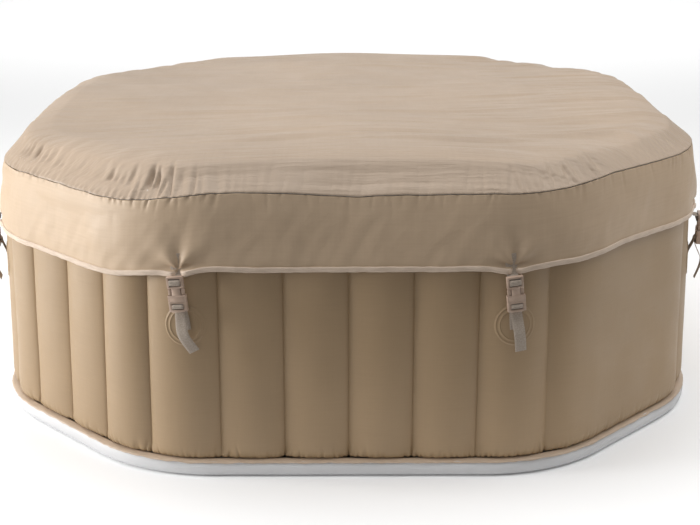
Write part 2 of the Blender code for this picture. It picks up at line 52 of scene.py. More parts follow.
CORNER_FACET = CORNER_CUT * math.sqrt(2) - 2 * TANGENT_RUN
CORNER_ARC = CORNER_RADIUS * math.pi / 4
QUARTER = 2 * FACET_HALF + CORNER_FACET + 2 * CORNER_ARC
PERIMETER = 4 * QUARTER
RIB_EDGE = 2 * RIB_WIDTH + CORNER_RIB_WIDTH

# Cover.
SEAM_HEIGHT = 0.680
HEM_HEIGHT = 0.505
SKIRT_DEPTH = 0.18
BINDING_HEIGHT = 0.0125
RIM_INSET = 0.150
RIM_DROP = 0.0715
PLATEAU_HEIGHT = 0.7515
LINING_HEIGHT = 0.6815
LINING_HOLE = 0.0345

# Buckles and webbing.
BUCKLE_PLACES = [quarter * QUARTER + offset for quarter in range(4) for offset in (-0.384, 0.374)]
BUCKLE_TURN = math.radians(6)
BUCKLE_BACK = 0.0085
BUCKLE_FRONT = 0.0205
BUCKLE_TOP = 0.500
BUCKLE_SPLIT = 0.441
BUCKLE_BOTTOM = 0.418
BUCKLE_MIDDLE = (BUCKLE_TOP + BUCKLE_BOTTOM) / 2
PATCH_HEIGHT = 0.3745
WEBBING_WIDTH = 0.0265
WEBBING = 0.0016

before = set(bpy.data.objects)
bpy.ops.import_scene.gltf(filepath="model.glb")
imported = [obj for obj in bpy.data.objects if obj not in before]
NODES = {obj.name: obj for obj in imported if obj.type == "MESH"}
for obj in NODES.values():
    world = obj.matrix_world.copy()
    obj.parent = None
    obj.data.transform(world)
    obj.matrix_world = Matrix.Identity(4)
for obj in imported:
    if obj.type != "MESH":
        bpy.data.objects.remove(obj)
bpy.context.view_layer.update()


# ---- Plan outline and fields over it ----


def outline(along):
    """Points and outward directions of the plan outline at the distances `along`, as arrays of pairs."""
    along = np.asarray(along, float)
    quarter = np.floor((along + FACET_HALF) / QUARTER)
    rest = along - quarter * QUARTER
    first = FACET_HALF + CORNER_ARC
    second = first + CORNER_FACET
    spans = [rest <= FACET_HALF, rest <= first, rest <= second]
    last_angle = math.pi / 2 - (QUARTER - FACET_HALF - rest) / CORNER_RADIUS
    angle = np.select(spans, [0.0, (rest - FACET_HALF) / CORNER_RADIUS, math.pi / 4], last_angle)
    sine, cosine = np.sin(angle), np.cos(angle)
    near_x, near_y = FACET_HALF, CORNER_RADIUS - HALF_WIDTH
    far_x, far_y = HALF_WIDTH - CORNER_RADIUS, -FACET_HALF
    arc_x, arc_y = CORNER_RADIUS * sine, -CORNER_RADIUS * cosine
    run = (rest - first) / math.sqrt(2)
    x = np.select(spans, [rest, near_x + arc_x, near_x + arc_x + run], far_x + arc_x)
    y = np.select(spans, [-HALF_WIDTH, near_y + arc_y, near_y + arc_y + run], far_y + arc_y)
    turn = quarter * math.pi / 2
    cos_turn, sin_turn = np.cos(turn), np.sin(turn)
    point = np.stack([x * cos_turn - y * sin_turn, x * sin_turn + y * cos_turn], -1)
    normal = np.stack([sine * cos_turn + cosine * sin_turn, sine * sin_turn - cosine * cos_turn], -1)
    return point, normal


def ring_points(along, inset, height):
    """Points at `inset` inside the outline and at `height`. The three arrays broadcast together."""
    along, inset, height = np.broadcast_arrays(along, inset, height)
    point, normal = outline(along)
    flat = point - normal * inset[..., None]
    return np.concatenate([flat, height[..., None]], -1)


def between(along, centre):
    """Signed distance along the outline from `centre`, the short way round."""
    return (along - centre + PERIMETER / 2) % PERIMETER - PERIMETER / 2


def hump(offset, width):
    return np.exp(-((offset / width) ** 2))


def smooth(value):
    value = np.clip(value, 0.0, 1.0)
    return value * value * (3 - 2 * value)


def noise(u, v, seed, wrap=256):
    """Gradient noise from about -1 to 1 over unit cells. It repeats every `wrap` cells along u."""
    angles = np.random.default_rng(seed).uniform(0, 2 * math.pi, (640, 256))
    u, v = np.broadcast_arrays(u, v)
    cell_u, cell_v = np.floor(u).astype(int), np.floor(v).astype(int)
    part_u, part_v = u - cell_u, v - cell_v
    ease_u, ease_v = smooth(part_u), smooth(part_v)

    def corner(step_u, step_v):
        angle = angles[(cell_u + step_u) % wrap, (cell_v + step_v) % 256]
        return np.cos(angle) * (part_u - step_u) + np.sin(angle) * (part_v - step_v)

    low = corner(0, 0) * (1 - ease_u) + corner(1, 0) * ease_u
    high = corner(0, 1) * (1 - ease_u) + corner(1, 1) * ease_u
    return 1.6 * (low * (1 - ease_v) + high * ease_v)


def ring_noise(along, height, cell_along, cell_height, seed):
    """Noise over a wall, with cells of about that size, that closes up round the outline."""
    cells = round(PERIMETER / cell_along)
    return noise((along % PERIMETER) * cells / PERIMETER, height / cell_height + 40, seed, cells)


class Creases:
    """Short folds that run away from a seam, each with its place, depth, width, length and slant."""

    def __init__(self, seed, spacing, depth, width, length, slant=0.0):
        draw = np.random.default_rng(seed)
        steps = draw.uniform(0.6, 1.4, int(PERIMETER / spacing))
        self.places = np.cumsum(steps) / steps.sum() * PERIMETER
        count = len(self.places)
        self.depths = draw.uniform(*depth, count)
        self.widths = draw.uniform(*width, count)
        self.lengths = draw.uniform(*length, count)
        self.slants = draw.uniform(-slant, slant, count)

    def depth(self, along, away, strength):
        """The depth of all folds at `along` (columns) and `away` from the seam (rows by columns)."""
        away = np.broadcast_to(away, (away.shape[0], len(along)))
        total = np.zeros(away.shape)
        folds = zip(self.places, self.depths, self.widths, self.lengths, self.slants)
        for place, depth, width, length, slant in folds:
            off = between(along, place)
            near = np.abs(off) < 4 * width + 2 * abs(slant) * length
            distance = away[:, near]
            across = (off[near] - slant * distance) / (width * (1 + 0.8 * distance / length))
            total[:, near] += depth * np.exp(-(across**2) - (distance / length) ** 2)
        return total * strength


def running_length(line):
    return np.concatenate([[0], np.cumsum(np.linalg.norm(np.diff(line, axis=0), axis=1))])


def columns_round(count):
    return np.linspace(0, PERIMETER, count, endpoint=False)


def hole_row(edge, share, height):
    """A row of points between a ring of plan points and the valve's hole, 1 at the hole."""
    radius = np.hypot(edge[:, 0], edge[:, 1])[:, None]
    place = edge * (1 - share) + edge / radius * LINING_HOLE * share
    return np.c_[place, np.full(len(edge), height)]


# ---- Meshes ----


def mesh_object(name, points, faces, corner_uv=None):
    """An object from points, faces as an array or a list of lists, and a UV pair for each face corner."""
    mesh = bpy.data.meshes.new(name)
    faces = faces if isinstance(faces, list) else faces.tolist()
    mesh.from_pydata(np.asarray(points).reshape(-1, 3).tolist(), [], faces)
    if corner_uv is not None:
        layer = mesh.uv_layers.new(name="metres")
        layer.data.foreach_set("uv", np.asarray(corner_uv, np.float32).ravel())
    mesh.update()
    mesh.shade_smooth()
    return linked(name, mesh)


def linked(name, data):
    made = bpy.data.objects.new(name, data)
    bpy.context.scene.collection.objects.link(made)
    return made


def edited(mesh, change):
    """Changes a mesh in place with `change(shape)`, which is given it as a bmesh."""
    shape = bmesh.new()
    shape.from_mesh(mesh)
    change(shape)
    shape.to_mesh(mesh)
    shape.free()


def quads_of(rows, columns, wrap):
    index = np.arange(rows * columns).reshape(rows, columns)
    if wrap:
        index = np.concatenate([index, index[:, :1]], 1)
    return np.stack([index[:-1, :-1], index[:-1, 1:], index[1:, 1:], index[1:, :-1]], -1).reshape(-1, 4)


def corner_uv(across, away):
    grid = np.stack(np.meshgrid(across, away), -1)
    return np.stack([grid[:-1, :-1], grid[:-1, 1:], grid[1:, 1:], grid[1:, :-1]], -2).reshape(-1, 2)


def ring_object(name, points, along, away, closed_loop=False):
    """A surface round the tub from rows of points. `along` and `away` give its UVs in metres."""
    if closed_loop:
        points = np.concatenate([points, points[:1]], 0)
    rows, columns = points.shape[:2]
    faces = quads_of(rows, columns, True)
    if closed_loop:
        faces = np.where(faces >= (rows - 1) * columns, faces - (rows - 1) * columns, faces)
        points = points[:-1]
    across = np.concatenate([along, along[:1] + PERIMETER])
    away = np.asarray(away, float)
    if closed_loop:
        away = np.concatenate([away, away[-1:] + 0.002])
    return mesh_object(name, points, faces, corner_uv(across, away))


def thickened(obj, thickness, offset=-1.0):
    modifier = obj.modifiers.new("thickness", "SOLIDIFY")
    modifier.thickness = thickness
    modifier.offset = offset
    return obj


def applied(obj):
    """Replaces the object's mesh with the one that its modifiers make."""
    graph = bpy.context.evaluated_depsgraph_get()
    mesh = bpy.data.meshes.new_from_object(obj.evaluated_get(graph), depsgraph=graph)
    obj.modifiers.clear()
    old, obj.data = obj.data, mesh
    bpy.data.meshes.remove(old)
    return obj


def box_object(name, low, high):
    shape = bmesh.new()
    bmesh.ops.create_cube(shape, size=1.0)
    size = Vector(high) - Vector(low)
    middle = (Vector(high) + Vector(low)) / 2
    matrix = Matrix.Translation(middle) @ Matrix.Diagonal((*size, 1))
    bmesh.ops.transform(shape, matrix=matrix, verts=shape.verts)
    mesh = bpy.data.meshes.new(name)
    shape.to_mesh(mesh)
    shape.free()
    return linked(name, mesh)


def moulded(name, body, unions, cuts, bevel=0.0009):
    """A moulded part: a box with others joined to it, then boxes cut from it, then its edges rounded."""
    part = box_object(name, *body)
    helpers = []
    for operation, boxes in (("UNION", unions), ("DIFFERENCE", cuts)):
        for corners in boxes:
            helper = box_object("helper", *corners)
            helpers.append(helper)
            modifier = part.modifiers.new("cut", "BOOLEAN")
            modifier.operation, modifier.object, modifier.solver = operation, helper, "EXACT"
    applied(part)
    for helper in helpers:
        bpy.data.objects.remove(helper, do_unlink=True)
    rounding = part.modifiers.new("rounding", "BEVEL")
    rounding.width, rounding.segments, rounding.limit_method = bevel, 3, "ANGLE"
    rounding.harden_normals = True
    applied(part)
    part.data.shade_smooth()
    part.data.set_sharp_from_angle(angle=math.radians(50))
    return part


# ---- Materials ----


class Nodes:
    """A material's node tree with short ways to add to it."""

    def __init__(self, name, roughness, **values):
        self.material = bpy.data.materials.new(name)
        self.material.use_nodes = True
        self.tree = self.material.node_tree
        self.shader = self.tree.nodes["Principled BSDF"]
        self.shader.inputs["Roughness"].default_value = roughness
        for socket, value in values.items():
            self.shader.inputs[socket].default_value = value
        self.height = None

    def add(self, kind, inputs=(), **settings):
        node = self.tree.nodes.new(kind)
        for name, value in settings.items():
            setattr(node, name, value)
        for socket, value in dict(inputs).items():
            if isinstance(value, bpy.types.NodeSocket):
                self.tree.links.new(value, node.inputs[socket])
            else:
                node.inputs[socket].default_value = value
        return node

    def place(self, kind="Object", scale=(1, 1, 1), rotation=0.0):
        """Texture coordinates in metres: Object space, or the UV map laid along the outline."""
        source = self.add("ShaderNodeTexCoord").outputs[kind]
        inputs = {"Vector": source, "Scale": scale, "Rotation": (0, 0, rotation)}
        return self.add("ShaderNodeMapping", inputs).outputs["Vector"]

    def noise(self, vector, scale=1.0, detail=3.0, roughness=0.5, distortion=0.0):
        inputs = {"Vector": vector, "Scale": scale, "Detail": detail, "Roughness": roughness}
        inputs["Distortion"] = distortion
        return self.add("ShaderNodeTexNoise", inputs).outputs["Fac"]

    def bands(self, vector, period, direction, distortion=0.0):
        inputs = {"Vector": vector, "Scale": 2 * math.pi / (20 * period), "Distortion": distortion}
        wave = self.add("ShaderNodeTexWave", inputs, bands_direction=direction, wave_profile="SIN")
        return wave.outputs["Fac"]

    def math(self, operation, first, second):
        return self.add("ShaderNodeMath", {0: first, 1: second}, operation=operation).outputs[0]

    def spread(self, value, low, high, from_low=0.35, from_high=0.65):
        inputs = {"Value": value, "From Min": from_low, "From Max": from_high}
        inputs.update({"To Min": low, "To Max": high})
        return self.add("ShaderNodeMapRange", inputs).outputs["Result"]

    def mix(self, factor, first, second, blend="MIX"):
        node = self.add("ShaderNodeMix", data_type="RGBA", blend_type=blend)
        for socket, value in zip((0, 6, 7), (factor, first, second)):
            if isinstance(value, bpy.types.NodeSocket):
                self.tree.links.new(value, node.inputs[socket])
            else:
                node.inputs[socket].default_value = value if socket == 0 else (*value[:3], 1.0)
        return node.outputs[2]

    def mottled(self, field, dark, light):
        return self.mix(self.spread(field, 0.0, 1.0), dark, light)

    def colour(self, value):
        if isinstance(value, bpy.types.NodeSocket):
            self.tree.links.new(value, self.shader.inputs["Base Color"])
        else:
            self.shader.inputs["Base Color"].default_value = (*value, 1.0)

    def roughness(self, value):
        self.tree.links.new(value, self.shader.inputs["Roughness"])

    def relief(self, height, distance, strength=1.0):
        """Adds a height field to the surface's bump."""
        inputs = {"Height": height, "Distance": distance, "Strength": strength}
        if self.height is not None:
            inputs["Normal"] = self.height
        self.height = self.add("ShaderNodeBump", inputs).outputs["Normal"]
        self.tree.links.new(self.height, self.shader.inputs["Normal"])


THREAD_PITCH = 0.0011
QUILT_PITCH = 0.05


def tinted(colour, factor):
    return tuple(min(1.0, channel * factor) for channel in colour)


def cloth_material(name, colour, roughness, streak, wrinkle, coat=0.0):
    """Coated cloth: slow changes of tone, fine streaks along the weave, a fine grain and soft wrinkles."""
    nodes = Nodes(name, roughness)
    nodes.shader.inputs["Specular IOR Level"].default_value = 0.50
    nodes.shader.inputs["Coat Weight"].default_value = coat
    nodes.shader.inputs["Coat Roughness"].default_value = 0.38
    slow = nodes.noise(nodes.place(), 2.6, 3.0)
    fine = nodes.noise(nodes.place("UV", (streak[0], streak[1], 1)), 1.0, 2.0, 0.6)
    cross = nodes.noise(nodes.place("UV", (streak[1], streak[0], 1)), 1.0, 2.0, 0.6)
    base = nodes.mottled(slow, tinted(colour, 0.95), tinted(colour, 1.05))
    base = nodes.mix(nodes.spread(fine, 0.0, 0.13), base, tinted(colour, 0.72))
    base = nodes.mix(nodes.spread(cross, 0.0, 0.07), base, tinted(colour, 1.35))
    nodes.colour(base)
    nodes.roughness(nodes.spread(nodes.noise(nodes.place(), 9.0, 4.0), roughness - 0.05, roughness + 0.06))
    threads = [nodes.bands(nodes.place("UV"), THREAD_PITCH, direction) for direction in "XY"]
    weave = nodes.math("ADD", *threads)
    nodes.relief(weave, 0.00006, 0.6)
    nodes.relief(nodes.noise(nodes.place("UV", (18, 60, 1)), 1.0, 4.0, 0.55, 0.4), wrinkle, 0.7)
    return nodes


def painted_shade_top_material():
    """The cover's cloth on its upper panel, where long fine wrinkles run across the tub. Its colour is painted
    darker than the skirt's copy of the same cloth, to stand for the light falling on each: painted shade.
    """
    # The same fabric as the skirt, given a darker colour than the skirt's copy: painted shade.
    nodes = cloth_material("cover_fabric_top_painted_shade", (0.385, 0.292, 0.213), 0.52, (4, 120), 0.0008, 0.04)
    place = nodes.place("UV", (2.0, 34.0, 1.0))
    nodes.relief(nodes.noise(place, 1.0, 3.0, 0.55, 0.25), 0.0060, 0.9)
    place = nodes.place("UV", (5.0, 95.0, 1.0), 0.04)
    nodes.relief(nodes.noise(place, 1.0, 3.0, 0.6, 0.2), 0.0020, 0.8)
    return nodes.material


def binding_material():
    nodes = Nodes("binding_tape", 0.62)
    rib = nodes.bands(nodes.place("UV"), 0.0016, "X")
    tone = nodes.noise(nodes.place("UV", (30, 200, 1)), 1.0, 3.0)
    base = nodes.mottled(tone, (0.56, 0.44, 0.34), (0.66, 0.53, 0.42))
    nodes.colour(nodes.mix(nodes.spread(rib, 0.0, 0.18, 0.0, 1.0), base, (0.38, 0.28, 0.20)))
    nodes.relief(rib, 0.00025, 0.8)
    return nodes.material


def webbing_material():
    """Woven strap: ribs across its length in two tones, with darker edges where the weave turns."""
    nodes = Nodes("webbing", 0.75)
    nodes.shader.inputs["Sheen Weight"].default_value = 0.2
    ribs = nodes.bands(nodes.place("UV"), 0.0017, "Y", 0.4)
    strands = nodes.bands(nodes.place("UV"), 0.0021, "X")
    tone = nodes.noise(nodes.place("UV", (260, 420, 1)), 1.0, 2.0)
    base = nodes.mottled(tone, (0.35, 0.285, 0.225), (0.47, 0.39, 0.32))
    base = nodes.mix(nodes.spread(ribs, 0.0, 0.32, 0.0, 1.0), base, (0.27, 0.215, 0.165))
    nodes.colour(base)
    nodes.relief(ribs, 0.0005, 0.9)
    nodes.relief(strands, 0.0002, 0.7)
    return nodes.material


def plastic_material(name, colour, roughness, texture=0.00008):
    """Moulded plastic: a fine spark texture, slow changes of gloss and slightly lighter worn patches."""
    nodes = Nodes(name, roughness)
    fine = nodes.noise(nodes.place(), 900.0, 2.0)
    slow = nodes.noise(nodes.place(), 24.0, 3.0)
    nodes.colour(nodes.mottled(slow, tinted(colour, 0.95), tinted(colour, 1.06)))
    nodes.roughness(nodes.spread(slow, roughness - 0.05, roughness + 0.07))
    nodes.relief(fine, texture, 0.5)
    return nodes.material


def vinyl_material(name, colour, roughness, dots=0.0):
    """Smooth PVC sheet: a soft orange-peel surface, faint cloudiness, and welded dots on the liner."""
    nodes = Nodes(name, roughness)
    slow = nodes.noise(nodes.place(), 5.0, 4.0)
    nodes.colour(nodes.mottled(slow, tinted(colour, 0.965), tinted(colour, 1.03)))
    nodes.roughness(nodes.spread(nodes.noise(nodes.place(), 14.0, 3.0), roughness - 0.06, roughness + 0.06))
    nodes.relief(nodes.noise(nodes.place(), 130.0, 2.0), 0.00025, 0.4)
    if dots:
        inputs = {"Vector": nodes.place(), "Scale": 1 / dots, "Randomness": 0.0}
        cells = nodes.add("ShaderNodeTexVoronoi", inputs)
        nodes.relief(nodes.spread(cells.outputs["Distance"], 1.0, 0.0, 0.12, 0.26), 0.0012, 0.8)
    return nodes.material


def foil_material():
    """Quilted insulating foil: a soft silver laminate with a grid of pressed lines."""
    nodes = Nodes("lining_foil", 0.34, Metallic=0.75)
    slow = nodes.noise(nodes.place(), 7.0, 5.0, 0.6, 0.6)
    nodes.colour(nodes.mottled(slow, (0.58, 0.58, 0.58), (0.70, 0.70, 0.69)))
    lines = nodes.math("MAXIMUM", *[nodes.bands(nodes.place(), QUILT_PITCH, direction) for direction in "XY"])
    nodes.relief(lines, 0.0015, 0.7)
    nodes.relief(slow, 0.003, 0.5)
    return nodes.material


def thread_material():
    nodes = Nodes("stitching_thread", 0.6)
    tone = nodes.noise(nodes.place(), 700.0, 2.0)
    nodes.colour(nodes.mottled(tone, (0.50, 0.40, 0.31), (0.66, 0.55, 0.44)))
    nodes.relief(tone, 0.0002, 0.6)
    return nodes.material


MATERIALS = {
    "wall_vinyl": cloth_material("wall_vinyl", (0.330, 0.227, 0.128), 0.50, (10, 420), 0.0005).material,
    # The skirt's cloth colour is painted lighter than the top's copy of the same fabric, to stand for the light
    # on the skirt: painted light.
    "cover_fabric": cloth_material("cover_fabric", (0.470, 0.345, 0.230), 0.58, (6, 180), 0.0010, 0.02).material,
    "cover_fabric_top_painted_shade": painted_shade_top_material(),
    "binding_tape": binding_material(),
    "webbing": webbing_material(),
    "buckle_plastic": plastic_material("buckle_plastic", (0.440, 0.320, 0.245), 0.42),
    "fitting_plastic": plastic_material("fitting_plastic", (0.62, 0.60, 0.56), 0.38),
    "valve_plastic": plastic_material("valve_plastic", (0.40, 0.30, 0.21), 0.42),
    "liner_vinyl": vinyl_material("liner_vinyl", (0.66, 0.65, 0.62), 0.38, dots=0.05),
    "base_vinyl": vinyl_material("base_vinyl", (0.57, 0.57, 0.575), 0.50),
    # The flap is the wall's vinyl, painted lighter than the wall to stand for the light on its upturned edge:
    # painted light.
    "flap_vinyl_painted_light": vinyl_material("flap_vinyl_painted_light", (0.50, 0.385, 0.285), 0.50),
    "lining_foil": foil_material(),
    "thread": thread_material(),
}


def finish(obj, body, slot, replaced=(), material=None):
    """Gives a piece its material, named by `slot` unless `material` is given, the body it rides on, and hides
    the CAD nodes it stands for.
    """
    obj.data.materials.clear()
    obj.data.materials.append(MATERIALS[material or slot])
    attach(obj, body)
    if replaced:
        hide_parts(*replaced)
    return obj


# ---- Wall ----


def rib_columns():
    """Columns round the wall: their places, and the share of the rib depth there, 1 in a crease."""
    places, depths = [], []

    def rib(start, end, spacing=0.002):
        steps = np.linspace(-1, 1, int(round((end - start) / spacing)), endpoint=False)
        share = steps * (1.35 - 0.35 * steps**2)
        places.append((start + end) / 2 + (end - start) / 2 * share)
        depths.append(0.52 * share**2 + 0.48 * (1 - np.sqrt(np.clip(1 - share**2, 0, 1))))

    for quarter in range(4):
        middle = quarter * QUARTER
        edges = [-RIB_EDGE, -2 * RIB_WIDTH, -RIB_WIDTH, 0.0, RIB_WIDTH, 2 * RIB_WIDTH, RIB_EDGE]
        for start, end in zip(edges, edges[1:]):
            rib(middle + start, middle + end)
        width = QUARTER - 2 * RIB_EDGE
        if quarter in SMOOTH_QUARTERS:
            steps = np.linspace(-1, 1, 260, endpoint=False)
            share = steps * (1.25 - 0.25 * steps**2)
            places.append(middle + RIB_EDGE + width * (share + 1) / 2)
            depths.append(np.clip((np.abs(share) - 0.72) / 0.28, 0, 1) ** 2.2 * 0.9 + 0.02 * share**2)
        else:
            for count in range(4):
                rib(middle + RIB_EDGE + width * count / 4, middle + RIB_EDGE + width * (count + 1) / 4)
    return np.concatenate(places), np.concatenate(depths)


WALL_ALONG, WALL_RIB = rib_columns()
WALL_LEVELS = np.array(
    [0.0405, 0.0420, 0.0440, 0.0465, 0.0495, 0.0530, 0.0575, 0.0630, 0.0700, 0.0790, 0.0910, 0.1070]
    + [0.1300, 0.1650, 0.2200, 0.2900, 0.3600, 0.4300, 0.5000, 0.5700, 0.6250, 0.6460, 0.6600, 0.6685]
)
WALL_PUCKERS = Creases(11, 0.0130, (0.0016, 0.0078), (0.0018, 0.0038), (0.008, 0.028), 0.30)


def wall_inset(along, rib, height):
    """How far inside the outline the wall's skin lies, for columns `along` and `rib` and rows `height`."""
    low = np.clip((height - 0.0405) / 0.030, 0, 1)
    high = np.clip((height - 0.615) / 0.0535, 0, 1)
    lean = WALL_LEAN * height / WALL_HEIGHT
    rounded = 0.0145 * (1 - np.sqrt(np.clip(1 - (1 - low) ** 2, 0, 1))) + 0.0235 * high**2.4
    depth = RIB_DEPTH * rib * (0.42 + 0.58 * smooth(low * 1.1)) * (1 - high**2)
    swell = 0.0016 * ring_noise(along, height, 0.34, 0.30, 5)
    swell = swell + 0.0007 * ring_noise(along, height, 0.09, 0.16, 6)
    return lean + rounded + depth + swell * np.clip((height - 0.06) / 0.1, 0, 1)


def wall_points(along, rib, levels):
    height = levels[:, None]
    inset = wall_inset(along[None, :], rib[None, :], height)
    away = height - 0.0405
    inset = inset + WALL_PUCKERS.depth(along, away, 0.55 + 0.9 * rib[None, :] ** 2)
    wave = 0.0022 * ring_noise(along[None, :], 0 * height, 0.055, 1.0, 8) * np.exp(-away / 0.010)
    return ring_points(along[None, :], inset, height + wave)


def wall_surface(along, height):
    """Points of the wall's skin at single places, with the crests and creases of its ribs."""
    rib = np.interp(along % PERIMETER, *np.array(sorted(zip(WALL_ALONG % PERIMETER, WALL_RIB))).T)
    return ring_points(along, wall_inset(along, rib, height), height)


def add_wall():
    wall = ring_object("tub_wall", wall_points(WALL_ALONG, WALL_RIB, WALL_LEVELS), WALL_ALONG, WALL_LEVELS)
    finish(thickened(wall, 0.0012), "tub", "wall_vinyl", ["outer_wall"])

    along = columns_round(720)
    profile = [(0.0400, 0.6685), (0.0440, 0.6730), (0.0560, 0.6762), (0.0800, 0.6780), (0.1150, 0.6787)]
    profile += [(0.1500, 0.6780), (0.1740, 0.6762), (0.1850, 0.6725), (0.1885, 0.6685)]
    inset, height = np.array(profile).T
    ripple = 0.0012 * ring_noise(along[None, :], 0 * inset[:, None], 0.05, 1.0, 21)
    ripple = ripple * np.sin(np.linspace(0, math.pi, 9))[:, None]
    points = ring_points(along[None, :], inset[:, None], height[:, None] + ripple)
    top = ring_object("tub_wall_top", points, along, inset)
    finish(thickened(top, 0.0012), "tub", "wall_vinyl", ["wall_top"])

    ribs = 32
    profile = [(0.2, height) for height in (0.008, 0.05, 0.12, 0.22, 0.32, 0.42, 0.52)]
    profile += [(0.2000, 0.61), (0.1985, 0.64), (0.1950, 0.6570), (0.1888, 0.6680)]
    inset, height = np.array(profile).T
    share = (along * ribs / PERIMETER) % 1.0 * 2 - 1
    rounding = np.sin(np.clip((height - 0.02) / 0.63, 0, 1) * math.pi)[:, None] ** 0.3
    swell = 0.010 * (1 - share**2)[None, :] * rounding
    points = ring_points(along[None, :], inset[:, None] + swell, height[:, None] + 0 * swell)[:, ::-1]
    inner = ring_object("tub_inner_wall", points, -along, height)
    finish(thickened(inner, 0.0012), "tub", "liner_vinyl", ["inner_wall"])


def add_base():
    """The floor pan's rounded white edge and the trimmed tan flap of the seam that joins it to the wall."""
    along = columns_round(1400)
    profile = [(0.30, 0.0, 0), (0.020, 0.0, 0), (0.0105, 0.0004, 0), (0.0040, 0.0022, 0.3)]
    profile += [(-0.0005, 0.0060, 0.7)]
    profile += [(-0.0030, 0.0110, 1), (-0.0040, 0.0180, 1), (-0.0038, 0.0250, 1), (-0.0022, 0.0310, 1)]
    profile += [(0.0005, 0.0350, 0.8), (0.0040, 0.0374, 0.5), (0.0120, 0.0380, 0)]
    inset, height, play = np.array(profile).T
    uneven = 0.0013 * ring_noise(along[None, :], height[:, None], 0.075, 0.05, 31) * play[:, None]
    points = ring_points(along[None, :], inset[:, None] + uneven, height[:, None] + 0 * uneven)
    finish(ring_object("tub_base_edge", points, along, height), "tub", "base_vinyl")

    along = columns_round(2600)
    steps = np.linspace(0, 1, 7)[:, None]
    ragged = ring_noise(along[None, :], 0 * steps, 0.012, 1.0, 33)
    slow = ring_noise(along[None, :], 0 * steps, 0.10, 1.0, 34)
    reach = 0.0032 + 0.0022 * slow + 0.0011 * ragged
    inset = 0.0170 - (0.0170 + 0.0005 + reach) * steps
    wave = 0.0020 * ring_noise(along[None, :], 3 * steps, 0.030, 1.0, 35) + 0.0016 * slow
    height = 0.0392 - 0.0035 * steps**3 + wave * steps**1.5
    points = ring_points(along[None, :], inset, height)
    flap = ring_object("tub_seam_flap", points, along, steps[:, 0] * 0.027)
    # The flap takes the lighter copy of the wall's vinyl colour: painted light.
    finish(thickened(flap, 0.0011), "tub", "wall_vinyl", ["bottom_seam_flap"], "flap_vinyl_painted_light")


# A patch's section from its centre out: radius, and height above the wall. Its two welds stand proud.
PATCH_PROFILE = (
    (0.0, 9e-4), (0.0060, 9e-4), (0.0140, 9e-4), (0.0220, 9e-4), (0.0290, 9e-4), (0.0335, 9e-4),
    (0.0350, 12e-4), (0.0362, 20e-4), (0.0372, 21e-4), (0.0384, 13e-4), (0.0398, 8e-4), (0.0425, 8e-4),
    (0.0440, 10e-4), (0.0452, 18e-4), (0.0462, 19e-4), (0.0472, 11e-4), (0.0484, 6e-4), (0.0492, 5e-4),
    (0.0496, 0.0),
)


def add_patches():
    """Round welded reinforcing patches on the wall where the strap tails are sewn."""
    radii, heights = np.array(PATCH_PROFILE).T
    turns = np.linspace(0, 2 * math.pi, 72, endpoint=False)
    for number, place in enumerate(BUCKLE_PLACES):
        centre = place + (BUCKLE_MIDDLE - PATCH_HEIGHT) * math.tan(BUCKLE_TURN)
        across = radii[:, None] * np.cos(turns)[None, :]
        rise = radii[:, None] * np.sin(turns)[None, :]
        surface = wall_surface(centre + across, PATCH_HEIGHT + rise)
        normal = outline(centre + across)[1]
        surface[..., :2] += normal * (heights[:, None, None] + 0.0004)
        faces = quads_of(len(radii), len(turns), True)
        uv = np.stack([across, rise], -1).reshape(-1, 2)[faces]
        patch = mesh_object(f"wall_patch_{number + 1}", surface, faces, uv)
        finish(patch, "tub", "wall_vinyl")


# ---- Cover ----


def cover_level(along):
    """How the cover sits: pulled down over the front left corner and riding up over the front right one."""
    off = between(along, 0.0)
    left = smooth((-off - 0.30) / 0.28) * smooth((off + 2.6) / 0.9)
    right = smooth((off - 0.38) / 0.34) * smooth((2.8 - off) / 0.9)
    return 0.0155 * right - 0.0255 * left


def seam_height(along):
    """Height of the seam between the cover's top and skirt."""
    wander = 0.0028 * ring_noise(along, 0 * along, 0.26, 1.0, 41)
    wander = wander + 0.0014 * ring_noise(along, 0 * along, 0.05, 1.0, 42)
    arch = 0.0040 * hump(between(along, -0.26), 0.09) - 0.0050 * hump(between(along, 0.0), 0.08)
    return SEAM_HEIGHT + wander + arch + cover_level(along)


# Where the cover's top is gathered into its seam: place, strength and half width.
GATHERS = (
    (-0.51, 1.35, 0.115), (-0.34, 0.40, 0.080), (-0.75, 0.35, 0.200), (-0.96, 0.90, 0.120),
    (0.42, 0.35, 0.050), (0.58, 0.50, 0.120), (1.04, 0.45, 0.150), (2.05, 0.80, 0.180),
    (2.65, 0.70, 0.180), (3.60, 0.80, 0.180), (4.25, 0.70, 0.180), (4.60, 0.40, 0.150),
)


def gather_strength(along):
    strength = np.full(np.shape(along), 0.12)
    for place, amount, width in GATHERS:
        strength = strength + amount * hump(between(along, place), width)
    return strength


def hem_drop(along):
    """How far the hem hangs below HEM_HEIGHT: it dips at each buckle and sags a little between them."""
    drop = 0.0028 * ring_noise(along, 0 * along, 0.28, 1.0, 43) - 1.1 * cover_level(along)
    for place in BUCKLE_PLACES:
        off = between(along, place)
        drop = drop + 0.0070 * hump(off, 0.040) - 0.0022 * hump(np.abs(off) - 0.10, 0.05)
    return drop


DEEP_PLEAT = -0.442
RIM_PLEATS = Creases(51, 0.0190, (0.0040, 0.0120), (0.0036, 0.0070), (0.030, 0.075), 0.35)
SEAM_PUCKERS = Creases(52, 0.0240, (0.0006, 0.0042), (0.0024, 0.0050), (0.008, 0.036), 0.30)


